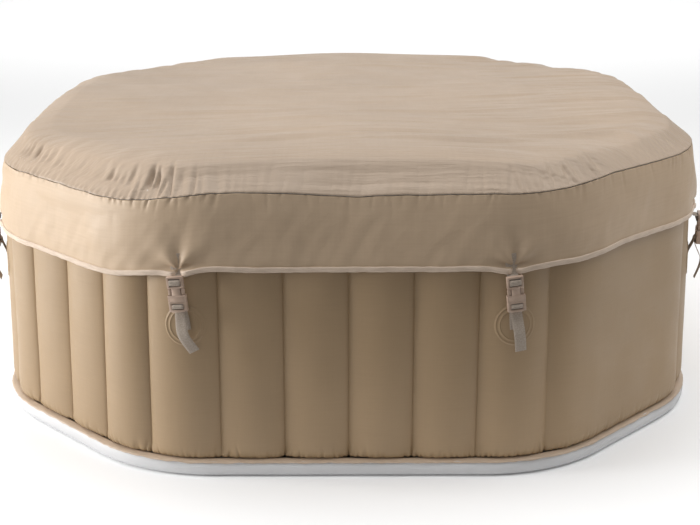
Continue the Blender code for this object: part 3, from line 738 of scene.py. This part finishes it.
def skirt_points(along, share):
    """Points of the skirt's outside: columns `along`, rows at `share` of the way from seam to hem."""
    top = seam_height(along)[None, :]
    bottom = (HEM_HEIGHT + BINDING_HEIGHT / 2 - hem_drop(along))[None, :]
    share = share[:, None]
    height = top - 0.0012 + (bottom - top + 0.0012) * share
    away = top - height
    inset = 0.0045 + 0.0180 * (1 - share) ** 1.8 + 0.0010 * np.exp(-away / 0.0022)
    row, col = height, along[None, :]
    folds = 0.0042 * ring_noise(col, row, 0.21, 0.16, 61)
    folds = folds + 0.0024 * ring_noise(col + 0.7 * row, row, 0.085, 0.11, 62)
    folds = folds + 0.0010 * ring_noise(col - 0.5 * row, row, 0.030, 0.05, 63)
    inset = inset + folds * smooth(share * 4) * (0.55 + 0.6 * share)
    gathered = np.clip(gather_strength(along), 0, 1)[None, :]
    inset = inset + SEAM_PUCKERS.depth(along, away, 0.35 + 0.75 * gathered)
    for count, place in enumerate(BUCKLE_PLACES):
        off = between(col, place)
        rise = height - (bottom + 0.012)
        radius = np.hypot(off, rise) + 1e-6
        turn = np.arctan2(off, np.maximum(rise, -0.02))
        near = np.exp(-radius / 0.055) * (1 - np.exp(-radius / 0.014))
        inset = inset + 0.0085 * near * np.cos(4.2 * turn + 0.9 * math.sin(3.1 * count))
        inset = inset + 0.0050 * np.exp(-((off / 0.022) ** 2) - np.clip(rise, 0, 1) / 0.022)
    wall = WALL_LEAN * height / WALL_HEIGHT + 0.0235 * np.clip((height - 0.615) / 0.0535, 0, 1) ** 2.4
    return ring_points(col, np.clip(inset, -0.0060, wall - 0.0032), height)


def surface_at(maker, along, share):
    """Points and outward normals of a surface at single places, from `maker(columns, rows)`."""
    made = np.empty((len(along), 3))
    normals = np.empty((len(along), 3))
    step = 0.0015
    for place in range(len(along)):
        columns = along[place] + np.array([-step, 0, step])
        rows = share[place] + np.array([-0.004, 0, 0.004])
        patch = maker(columns, rows)
        made[place] = patch[1, 1]
        normal = np.cross(patch[1, 2] - patch[1, 0], patch[0, 1] - patch[2, 1])
        normals[place] = normal / np.linalg.norm(normal)
    return made, normals


TOP_SIDE = 212
TOP_ALONG = np.arange(8 * TOP_SIDE) / (8 * TOP_SIDE) * PERIMETER - QUARTER / 2


def top_height(x, y):
    """Height of the cover's upper panel: lower at the corners, with long soft wrinkles across the tub."""
    radius = np.hypot(x, y)
    crown = 0.0040 * (1 - np.clip(radius / 0.775, 0, 1) ** 2)
    corners = 0.0086 * np.cos(4 * np.arctan2(y, x)) * smooth(radius / 0.80)
    tilt = 0.0057 * x + cover_tilt(x, y)
    lines = y - 0.14 * np.maximum(x, 0) ** 2 + 0.05 * x * y
    right, front = smooth((x + 0.15) / 0.9), smooth((-y - 0.05) / 0.75)
    amount = 0.75 + 0.95 * front + 1.05 * right
    long_folds = 0.0028 * noise(x / 0.42 + 30, lines / 0.055 + 30, 71)
    long_folds = long_folds + 0.0021 * noise(x / 0.30 + 30, lines / 0.030 + 30, 72)
    broad = 0.0030 * noise(x / 0.45 + 60, y / 0.40 + 60, 73)
    return PLATEAU_HEIGHT + crown + corners + tilt + long_folds * amount + broad


def cover_tilt(x, y):
    """The upper panel follows a little of the sag at the front left corner."""
    return -0.006 * np.exp(-(((x + 0.72) / 0.28) ** 2) - ((y + 0.52) / 0.28) ** 2)


# The cover's edge from the upper panel to the seam: inset, drop below the panel, and how freely it moves.
RIM_PROFILE = (
    (0.1400, 0.0014, 0.06), (0.1290, 0.0030, 0.10), (0.1180, 0.0048, 0.16), (0.1080, 0.0068, 0.24),
    (0.0990, 0.0090, 0.34), (0.0920, 0.0112, 0.44), (0.0865, 0.0135, 0.54), (0.0825, 0.0160, 0.64),
    (0.0785, 0.0195, 0.72), (0.0735, 0.0242, 0.80), (0.0675, 0.0304, 0.90), (0.0610, 0.0362, 1.00),
    (0.0545, 0.0420, 1.00), (0.0480, 0.0477, 1.00), (0.0415, 0.0533, 1.00), (0.0352, 0.0587, 1.00),
    (0.0297, 0.0636, 0.90), (0.0256, 0.0676, 0.70), (0.0230, 0.0702, 0.45), (0.0234, 0.0715, 0.20),
)
# How the foil sheet rises from the seam to lie flat: inset, and the share of the rise there.
LINING_RISE = (
    (0.0285, 0.0), (0.0340, 0.34), (0.0400, 0.66), (0.0460, 0.89), (0.0530, 0.985), (0.0620, 1.0),
)


def lining_height(inset, seam):
    share = np.interp(inset, *zip(*LINING_RISE))
    return seam - 0.0016 + (LINING_HEIGHT - seam + 0.0016) * share


def rim_points(along):
    inset, drop, play = np.array(RIM_PROFILE).T[..., None]
    seam = seam_height(along)[None, :]
    share = drop / RIM_DROP
    edge = ring_points(along, RIM_INSET, 0.0)
    top = top_height(edge[:, 0], edge[:, 1])[None, :]
    height = top + (seam + 0.0004 - top) * share
    away = height - seam
    strength = gather_strength(along)[None, :]
    pleats = RIM_PLEATS.depth(along, np.clip(away - 0.004, 0, 1), np.clip(strength, 0, 1.35)) * play
    deep_at = between(along[None, :] + 0.2 * away, DEEP_PLEAT)
    deep = 0.0130 * np.exp(-((deep_at / 0.0042) ** 2) - (away / 0.045) ** 2) * play
    ridges = 0.0058 * ring_noise(along[None, :] + 0.25 * away, away, 0.026, 0.09, 53)
    ridges = ridges * strength * np.exp(-away / 0.035) * play
    soft = 0.0030 * ring_noise(along[None, :], away, 0.19, 0.11, 54) * play
    inset = inset + pleats + deep + ridges + soft
    height = height - 0.45 * (pleats + deep) * (1 - share)
    bulge = hump(between(along, 0.70), 0.22)[None, :]
    height = height + 0.008 * bulge * np.sin(np.clip(share * 1.1, 0, 1) * math.pi) * (1 - share)
    inset = inset - 0.006 * bulge * np.sin(share * math.pi)
    height = np.maximum(height, lining_height(inset, seam) + 0.0020)
    return ring_points(along[None, :], inset, height)


def add_top():
    """The cover's upper panel: a grid over the plan, then finer rows round its gathered edge."""
    side = TOP_SIDE
    steps = np.linspace(-1, 1, side + 1)
    u, v = np.meshgrid(steps, steps)
    radius = np.maximum(np.abs(u), np.abs(v))
    safe = np.where(radius > 0, radius, 1.0)
    a, b = u / safe, v / safe
    along = np.select(
        [np.abs(v) >= np.abs(u), u > 0],
        [np.where(v < 0, a * QUARTER / 2, 2 * QUARTER - a * QUARTER / 2), QUARTER + b * QUARTER / 2],
        3 * QUARTER - b * QUARTER / 2,
    )
    edge = ring_points(along, RIM_INSET, 0.0)
    x, y = edge[..., 0] * radius, edge[..., 1] * radius
    disc = np.stack([x, y, top_height(x, y)], -1).reshape(-1, 3)
    grid = np.arange((side + 1) ** 2).reshape(side + 1, side + 1)
    border = np.concatenate([grid[0, :-1], grid[:-1, -1], grid[-1, :0:-1], grid[:0:-1, 0]])
    rim = rim_points(TOP_ALONG)
    columns = len(TOP_ALONG)
    first = len(disc) + np.arange(columns)
    faces = quads_of(side + 1, side + 1, False).tolist()
    for count, corner in enumerate(border):
        following = border[(count + 1) % len(border)]
        place = 2 * count
        faces.append([corner, first[place], first[place + 1], first[(place + 2) % columns], following])
    rows = len(rim)
    rim_faces = quads_of(rows, columns, True)[:, ::-1] + len(disc)
    points = np.concatenate([disc, rim.reshape(-1, 3)])
    faces += rim_faces.tolist()
    flat_uv = points[:, :2]
    uv = np.concatenate([flat_uv[np.array(face)] for face in faces])
    top = mesh_object("cover_top", points, faces, uv)
    # The upper panel takes the darker copy of the cover cloth: painted shade.
    finish(top, "cover", "cover_fabric", ["cover_top_panel"], "cover_fabric_top_painted_shade")


def stitches(name, paths, length=0.0034, gap=0.0022, width=0.0007, body="cover"):
    """Rows of thread stitches. Each path is (points, normals), close enough to follow the cloth."""
    points, faces = [], []
    for line, normals in paths:
        run = running_length(line)
        count = int(run[-1] // (length + gap))
        for start in (np.arange(count) + 0.25) * (length + gap):
            ends = []
            for at in (start, start + length):
                where = np.array([np.interp(at, run, line[:, axis]) for axis in range(3)])
                out = np.array([np.interp(at, run, normals[:, axis]) for axis in range(3)])
                ends.append((where, out / np.linalg.norm(out)))
            (low, out_low), (high, out_high) = ends
            middle, out = (low + high) / 2, (out_low + out_high) / 2
            across = np.cross(high - low, out)
            across = across / np.linalg.norm(across) * width / 2
            sunk = -0.0002
            base = len(points)
            points += [low + out * sunk, middle + across + out * 0.0001, high + out * sunk]
            points += [middle - across + out * 0.0001, middle + out * 0.00065]
            faces += [[base, base + 1, base + 4], [base + 1, base + 2, base + 4]]
            faces += [[base + 2, base + 3, base + 4], [base + 3, base, base + 4]]
    obj = mesh_object(name, np.array(points), faces)
    return finish(obj, body, "binding_tape", material="thread")


def hem_line(along):
    """The skirt's lower edge: its points and the outward directions there."""
    points = skirt_points(along, np.array([0.985, 1.0]))[1]
    return points, outline(along)[1]


def add_skirt():
    along = columns_round(1900)
    near_seam = [0, 0.006, 0.012, 0.02, 0.03, 0.045, 0.065, 0.09, 0.12, 0.16]
    share = np.concatenate([near_seam, np.linspace(0.21, 1.0, 24)])
    points = skirt_points(along, share)
    skirt = ring_object("cover_side", points[::-1], along, (1 - share[::-1]) * SKIRT_DEPTH)
    # The skirt takes the lighter copy of the cover cloth: painted light.
    finish(thickened(skirt, 0.0012), "cover", "cover_fabric", ["cover_skirt"])

    line, out = hem_line(along)
    half = BINDING_HEIGHT / 2
    section = [(-1.0, -0.0018), (-1.12, 0.0004), (-1.0, 0.0026), (-0.5, 0.0034), (-0.28, 0.0029)]
    section += [(0.3, 0.0031), (0.85, 0.0027), (1.0, 0.0016), (1.0, 0.0004), (0.85, -0.0020), (0.0, -0.0026)]
    level, proud = np.array(section).T
    pinch = 1 + 0.10 * ring_noise(along, 0 * along, 0.022, 1.0, 45)
    points = np.repeat(line[None], len(section), 0)
    points[..., 2] += level[:, None] * half * pinch[None, :]
    points[..., :2] += out[None] * (proud[:, None] * pinch[None, :] - 0.0002)[..., None]
    around = np.arange(len(section)) * 0.0035
    binding = ring_object("cover_hem_binding", points, along, around, closed_loop=True)
    finish(binding, "cover", "binding_tape", ["hem_binding"])
    path = line.copy()
    path[:, 2] -= 0.0014
    path[:, :2] += out * 0.0029
    normals = np.c_[out, 0 * out[:, 0]]
    closed = [np.concatenate([rows, rows[:1]]) for rows in (path, normals)]
    stitches("cover_hem_stitches", [closed])


def add_box_stitches():
    """The square of stitches through the skirt that holds each hanger strap behind it."""
    half_width, height = 0.0095, 0.0190
    corners = [(-1, 0), (1, 0), (1, 1), (-1, 1), (-1, 0), (1, 1)]
    for number, place in enumerate(BUCKLE_PLACES):
        hem = float(hem_line(np.array([place - 0.001, place, place + 0.001]))[0][1, 2])
        seam = float(seam_height(np.array([place]))[0])
        bottom = hem + 0.0105
        paths = []
        for start, end in zip(corners, corners[1:]):
            t = np.linspace(0, 1, 14)
            across = place + (start[0] + (end[0] - start[0]) * t) * half_width
            level = bottom + (start[1] + (end[1] - start[1]) * t) * height
            share = (seam - level) / (seam - hem)
            paths.append(surface_at(skirt_points, across, share))
        stitches(f"cover_box_stitch_{number + 1}", paths, 0.0022, 0.0010, 0.0006)


def add_lining():
    """The foil sheet under the air cushion, sewn into the seam, with a round hole for the valve."""
    along = columns_round(720)
    seam = seam_height(along)
    rows = []
    for inset, share in LINING_RISE:
        rows.append(ring_points(along, inset, lining_height(inset, seam) - 0.0080 * share * (1 - share)))
    rim = rows[-1][:, :2]
    for share in (0.06, 0.14, 0.24, 0.36, 0.50, 0.64, 0.78, 0.90, 1.0):
        rows.append(hole_row(rim, share, LINING_HEIGHT))
    away = [0.0, 0.009, 0.018, 0.026, 0.033, 0.042, 0.09, 0.16, 0.24, 0.34, 0.45, 0.56, 0.68, 0.76, 0.84]
    lining = ring_object("cover_foil", np.array(rows)[::-1], along, np.array(away)[::-1])
    finish(thickened(lining, 0.0010), "cover", "lining_foil", ["cover_lining"])


def add_cushion():
    """The cover's air cushion: a hollow pad that follows the cover's underside, with its valve's hole."""
    along = columns_round(480)
    floor = LINING_HEIGHT + 0.0020
    edge = ring_points(along, 0.075, 0.0)[:, :2]
    rows = [hole_row(edge, share, floor) for share in (1.0, 0.8, 0.6, 0.4, 0.2, 0.05)]
    for inset, height in ((0.0780, 0.6860), (0.0750, 0.6900), (0.0800, 0.6960)):
        rows.append(ring_points(along, inset, height))
    for inset, below in ((0.092, 0.030), (0.108, 0.022), (0.130, 0.017), (0.160, 0.015)):
        row = ring_points(along, inset, 0.0)
        row[:, 2] = np.maximum(top_height(row[:, 0], row[:, 1]) - below, 0.698)
        rows.append(row)
    last = rows[-1][:, :2]
    for scale in (0.88, 0.74, 0.60, 0.46, 0.32, 0.18, 0.06):
        rows.append(np.c_[last * scale, top_height(last[:, 0] * scale, last[:, 1] * scale) - 0.014])
    cushion = ring_object("cover_air_cushion", np.array(rows), along, np.arange(len(rows)) * 0.05)

    def close_top(shape):
        edges = [e for e in shape.edges if e.is_boundary and e.verts[0].co.xy.length > 1.05 * LINING_HOLE]
        bmesh.ops.holes_fill(shape, edges=edges, sides=len(along))

    edited(cushion.data, close_top)
    finish(cushion, "cover", "liner_vinyl", ["lid_bladder"])


def add_seam_stitches():
    """The row of stitches that closes the cover's seam, just above it."""
    along = np.linspace(0, PERIMETER, 2600)
    line = rim_points(along)[-3]
    normal = np.c_[outline(along)[1] * 0.75, np.full(len(along), 0.66)]
    stitches("cover_seam_stitches", [(line, normal)], 0.0036, 0.0034)


# ---- Buckles and straps ----


def buckle_matrix(place):
    """The frame of a buckle: +X along the facet, +Y out of it, +Z up, turned about its middle."""
    point, normal = (value[0] for value in outline(np.array([place])))
    out = Vector((normal[0], normal[1], 0.0))
    across = out.cross(Vector((0, 0, 1)))
    facing = Matrix((across, out, Vector((0, 0, 1)))).transposed().to_4x4()
    middle = Matrix.Translation((point[0], point[1], BUCKLE_MIDDLE))
    to_middle = Matrix.Translation((0, 0, -BUCKLE_MIDDLE))
    return middle @ facing @ Matrix.Rotation(BUCKLE_TURN, 4, "Y") @ to_middle


def slab(low_x, high_x, low, high, depth=0.0):
    """A box in the buckle's frame, set in from its two faces by `depth`."""
    return (low_x, BUCKLE_BACK + depth, low), (high_x, BUCKLE_FRONT - depth, high)


def pair(inner, outer, low, high, depth):
    return [slab(*sorted((side * inner, side * outer)), low, high, depth) for side in (-1, 1)]


def female_half():
    """The socket half: a block with two webbing slots, a tongue between the latch windows, and a collar."""
    slot_half = 0.0135
    unions = [
        slab(-0.0188, 0.0188, 0.4730, BUCKLE_TOP, 0.0),
        slab(-0.0100, 0.0100, 0.4520, 0.4770, 0.0008),
        slab(-0.0165, 0.0165, 0.4430, 0.4535, -0.0006),
    ]
    cuts = [
        slab(-slot_half, slot_half, 0.4880, 0.4952, -0.01),
        slab(-slot_half, slot_half, 0.4770, 0.4822, -0.01),
        slab(-0.0190, 0.0190, BUCKLE_SPLIT - 0.01, 0.4570, 0.0028),
        slab(-0.0050, 0.0050, BUCKLE_SPLIT - 0.01, 0.4725, 0.0034),
    ]
    return moulded("female", slab(-0.0208, 0.0208, BUCKLE_SPLIT, 0.4562), unions, cuts, 0.0011)


def male_half():
    """The prong half: a plate with two slots, a guide prong, and latch arms that fill the windows."""
    split = BUCKLE_SPLIT - 0.0003
    prongs = [slab(-0.0036, 0.0036, split - 0.002, 0.4705, 0.0045)]
    prongs += pair(0.0125, 0.0172, split - 0.002, 0.4620, 0.0040)
    prongs += pair(0.0116, 0.0186, 0.4575, 0.4715, 0.0022)
    lip = slab(-0.0150, 0.0150, BUCKLE_BOTTOM - 0.0012, BUCKLE_BOTTOM + 0.0035, -0.0008)
    slots = [slab(-0.0135, 0.0135, 0.4226, 0.4278, -0.01), slab(-0.0135, 0.0135, 0.4316, 0.4366, -0.01)]
    return moulded("male", slab(-0.0208, 0.0208, BUCKLE_BOTTOM, split), prongs + [lip], slots, 0.0010)


def smooth_path(path, count):
    """Points evenly along a smooth curve through `path`, each (x, out, height)."""
    path = np.array(path, float)
    padded = np.concatenate([2 * path[:1] - path[1:2], path, 2 * path[-1:] - path[-2:-1]])
    made = []
    for start in range(len(path) - 1):
        p0, p1, p2, p3 = padded[start : start + 4]
        for t in np.linspace(0, 1, 12, endpoint=False):
            square, cube = 2 * p0 - 5 * p1 + 4 * p2 - p3, 3 * p1 - p0 - 3 * p2 + p3
            made.append(0.5 * (2 * p1 + (p2 - p0) * t + square * t**2 + cube * t**3))
    made.append(path[-1])
    made = np.array(made)
    run = running_length(made)
    at = np.linspace(0, run[-1], count)
    return np.stack([np.interp(at, run, made[:, axis]) for axis in range(3)], -1), at


def strap(name, path, turns, count=90):
    """Webbing swept along a path of (x, out, height). `turns` is its roll at each path point."""
    centre, run = smooth_path(path, count)
    knots = np.interp(np.linspace(0, 1, count), np.linspace(0, 1, len(path)), turns)
    tangent = np.gradient(centre, axis=0)
    tangent /= np.linalg.norm(tangent, axis=1)[:, None]
    across = np.stack([np.cos(knots), 0 * knots, np.sin(knots)], -1)
    across -= tangent * (across * tangent).sum(1)[:, None]
    across /= np.linalg.norm(across, axis=1)[:, None]
    face = np.cross(across, tangent)
    half, thick = WEBBING_WIDTH / 2, WEBBING / 2
    section = [(-1, 0), (-0.95, -0.85), (-0.5, -1), (0, -1), (0.5, -1), (0.95, -0.85)]
    section += [(1, 0), (0.95, 0.85), (0.5, 1), (0, 1), (-0.5, 1), (-0.95, 0.85)]
    loops = np.array(section)
    points = centre[:, None] + across[:, None] * (loops[:, 0] * half)[None, :, None]
    points = points + face[:, None] * (loops[:, 1] * thick)[None, :, None]
    rows, columns = points.shape[:2]
    faces = quads_of(rows, columns, True)
    around = np.concatenate([loops[:, 0] * half, loops[:1, 0] * half])
    ends = [list(range(columns))[::-1], list(range((rows - 1) * columns, rows * columns))]
    uv = np.concatenate([corner_uv(around, run), np.zeros((2 * columns, 2))])
    made = mesh_object(name, points, faces.tolist() + ends, uv)
    edited(made.data, lambda shape: bmesh.ops.recalc_face_normals(shape, faces=shape.faces[:]))
    made.data.set_sharp_from_angle(angle=math.radians(60))
    return made


# The hanger's path, out of the facet and up: from inside the skirt, under the hem and round the socket's bar.
HANGER_PATH = (
    (-0.0106, 0.5460), (-0.0102, 0.5250), (-0.0092, 0.5070), (-0.0055, 0.4975), (0.0010, 0.4962),
    (0.0062, 0.4955), (0.0075, 0.4930), (0.0120, 0.4916), (0.0190, 0.4916), (0.0222, 0.4904),
    (0.0226, 0.4852), (0.0222, 0.4808), (0.0190, 0.4797), (0.0110, 0.4797), (0.0060, 0.4803),
    (0.0044, 0.4850), (0.0040, 0.4935),
)
# The tail's path from the wall up and round the prong half's bar, then its free end: swing, out, height
# and roll.
TAIL_PATH = (
    (-0.0103, 0.3640), (-0.0098, 0.3790), (-0.0076, 0.3950), (-0.0015, 0.4100), (0.0026, 0.4205),
    (0.0040, 0.4290), (0.0090, 0.4340), (0.0170, 0.4342), (0.0218, 0.4330), (0.0226, 0.4294),
    (0.0214, 0.4258), (0.0150, 0.4250), (0.0090, 0.4242), (0.0066, 0.4210), (0.0070, 0.4150),
)
TAIL_END = (
    (0.0000, 0.0108, 0.4030, 0.00), (0.0006, 0.0170, 0.3890, 0.04), (0.0014, 0.0225, 0.3760, 0.08),
    (0.0032, 0.0246, 0.3650, 0.16), (0.0062, 0.0232, 0.3530, 0.26), (0.0100, 0.0198, 0.3410, 0.34),
    (0.0142, 0.0156, 0.3290, 0.37), (0.0180, 0.0118, 0.3180, 0.38),
)
# How far each buckle's tail swings to its own +X side, and how far it stands off the wall.
TAILS = ((-1.15, 1.0), (-0.2, 1.0), (0.7, 1.1), (-0.5, 0.9), (0.4, 1.0), (-0.8, 1.0), (0.3, 1.0), (0.9, 1.1))


def tail_shape(swing, flare):
    """The tail strap's path, and its roll at each point."""
    path = [(0, out, height) for out, height in TAIL_PATH]
    path += [(swing * x, out * flare, height) for x, out, height, _ in TAIL_END]
    return path, [0.0] * len(TAIL_PATH) + [swing * roll for *_, roll in TAIL_END]


def add_buckles():
    female, male = female_half(), male_half()
    for number, place in enumerate(BUCKLE_PLACES, 1):
        matrix = buckle_matrix(place)
        for source, name, body, node in (
            (female, f"buckle_socket_{number}", "cover", f"buckle_female_{number}"),
            (male, f"buckle_prongs_{number}", f"buckle_male_{number}", f"buckle_male_{number}"),
        ):
            copy = linked(name, source.data.copy())
            copy.matrix_world = matrix
            finish(copy, body, "buckle_plastic", [node])
        hanger_path = [(0, out, height) for out, height in HANGER_PATH]
        hanger = strap(f"hanger_strap_{number}", hanger_path, [0.0] * len(hanger_path))
        hanger.matrix_world = matrix
        finish(hanger, "cover", "webbing", [f"strap_hanger_{number}"])
        path, turns = tail_shape(*TAILS[number - 1])
        tail = strap(f"tail_strap_{number}", path, turns, count=110)
        tail.matrix_world = matrix
        bpy.context.view_layer.update()
        tail.data.materials.append(MATERIALS["webbing"])
        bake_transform(tail)
        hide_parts(f"strap_tail_{number}")
    for source in (female, male):
        bpy.data.objects.remove(source, do_unlink=True)


# ---- Carried-over CAD nodes ----

NODE_MATERIALS = {
    "liner_vinyl": ("floor_liner", "bubble_channel", "air_riser", "wall_webs"),
    "base_vinyl": ("base_pan",),
    "valve_plastic": ("wall_valve", "wall_valve_cap", "lid_valve", "lid_valve_cap"),
    "fitting_plastic": (
        "air_port", "air_port_cap", "drain_cap", "drain_pipe", "water_inlet", "water_inlet_cap",
        "water_inlet_strainer", "water_outlet", "water_outlet_cap", "water_outlet_strainer",
    ),
}


def finish_nodes():
    for name, nodes in NODE_MATERIALS.items():
        for node in nodes:
            mesh = NODES[node].data
            mesh.materials.clear()
            mesh.materials.append(MATERIALS[name])


# ---- Studio ----


def area_light(name, location, target, size, energy):
    data = bpy.data.lights.new(name, "AREA")
    data.shape, data.size, data.size_y = "RECTANGLE", size[0], size[1]
    data.energy = energy
    light = linked(name, data)
    light.location = location
    light.rotation_euler = (Vector(target) - Vector(location)).to_track_quat("-Z", "Y").to_euler()


def add_floor(name, low, high, height, tone, roughness):
    corners = [(low[0], low[1]), (high[0], low[1]), (high[0], high[1]), (low[0], high[1])]
    floor = mesh_object(name, [(*corner, height) for corner in corners], [[0, 1, 2, 3]])
    surface = Nodes(name, roughness)
    surface.colour((tone, tone, tone))
    floor.data.materials.append(surface.material)


def add_studio():
    add_floor("studio_floor", (-30, -30), (30, 30), 0.0, 0.94, 0.90)
    # A dark cloth below the picture's lower edge keeps light from bouncing onto the near facets.
    add_floor("studio_flag", (-6, -8), (6, -1.36), 0.002, 0.06, 0.95)

    world = bpy.data.worlds.new("studio")
    bpy.context.scene.world = world
    world.use_nodes = True
    background = world.node_tree.nodes["Background"].inputs
    background["Color"].default_value, background["Strength"].default_value = (1.0, 1.0, 1.0, 1.0), 0.26

    area_light("key_left", (-4.4, -0.95, 1.15), (0.0, -0.1, 0.30), (2.0, 1.4), 185)
    area_light("fill_front", (-0.6, -5.0, 1.8), (0.0, 0.0, 0.35), (3.0, 2.0), 24)
    area_light("floor_right", (3.9, -0.4, 2.6), (4.1, -0.4, 0.0), (2.0, 3.6), 52)
    area_light("overhead", (0.0, -0.15, 4.2), (0.0, -0.15, 0.0), (6.6, 3.8), 185)
    area_light("backdrop", (0.0, 9.2, 3.2), (0.0, 9.2, 0.0), (13.0, 9.0), 430)

    data = bpy.data.cameras.new("camera")
    data.lens, data.sensor_width = 64.93, 36.0
    camera = linked("camera", data)
    camera.location = (-0.0073, -3.623, 1.3702)
    camera.rotation_euler = (math.radians(72.685), 0.0, math.radians(-0.2235))
    bpy.context.scene.camera = camera
    bpy.context.scene.view_settings.view_transform = "Standard"


add_wall()
add_base()
add_patches()
add_top()
add_skirt()
add_lining()
add_cushion()
add_seam_stitches()
add_box_stitches()
add_buckles()
finish_nodes()
add_studio()
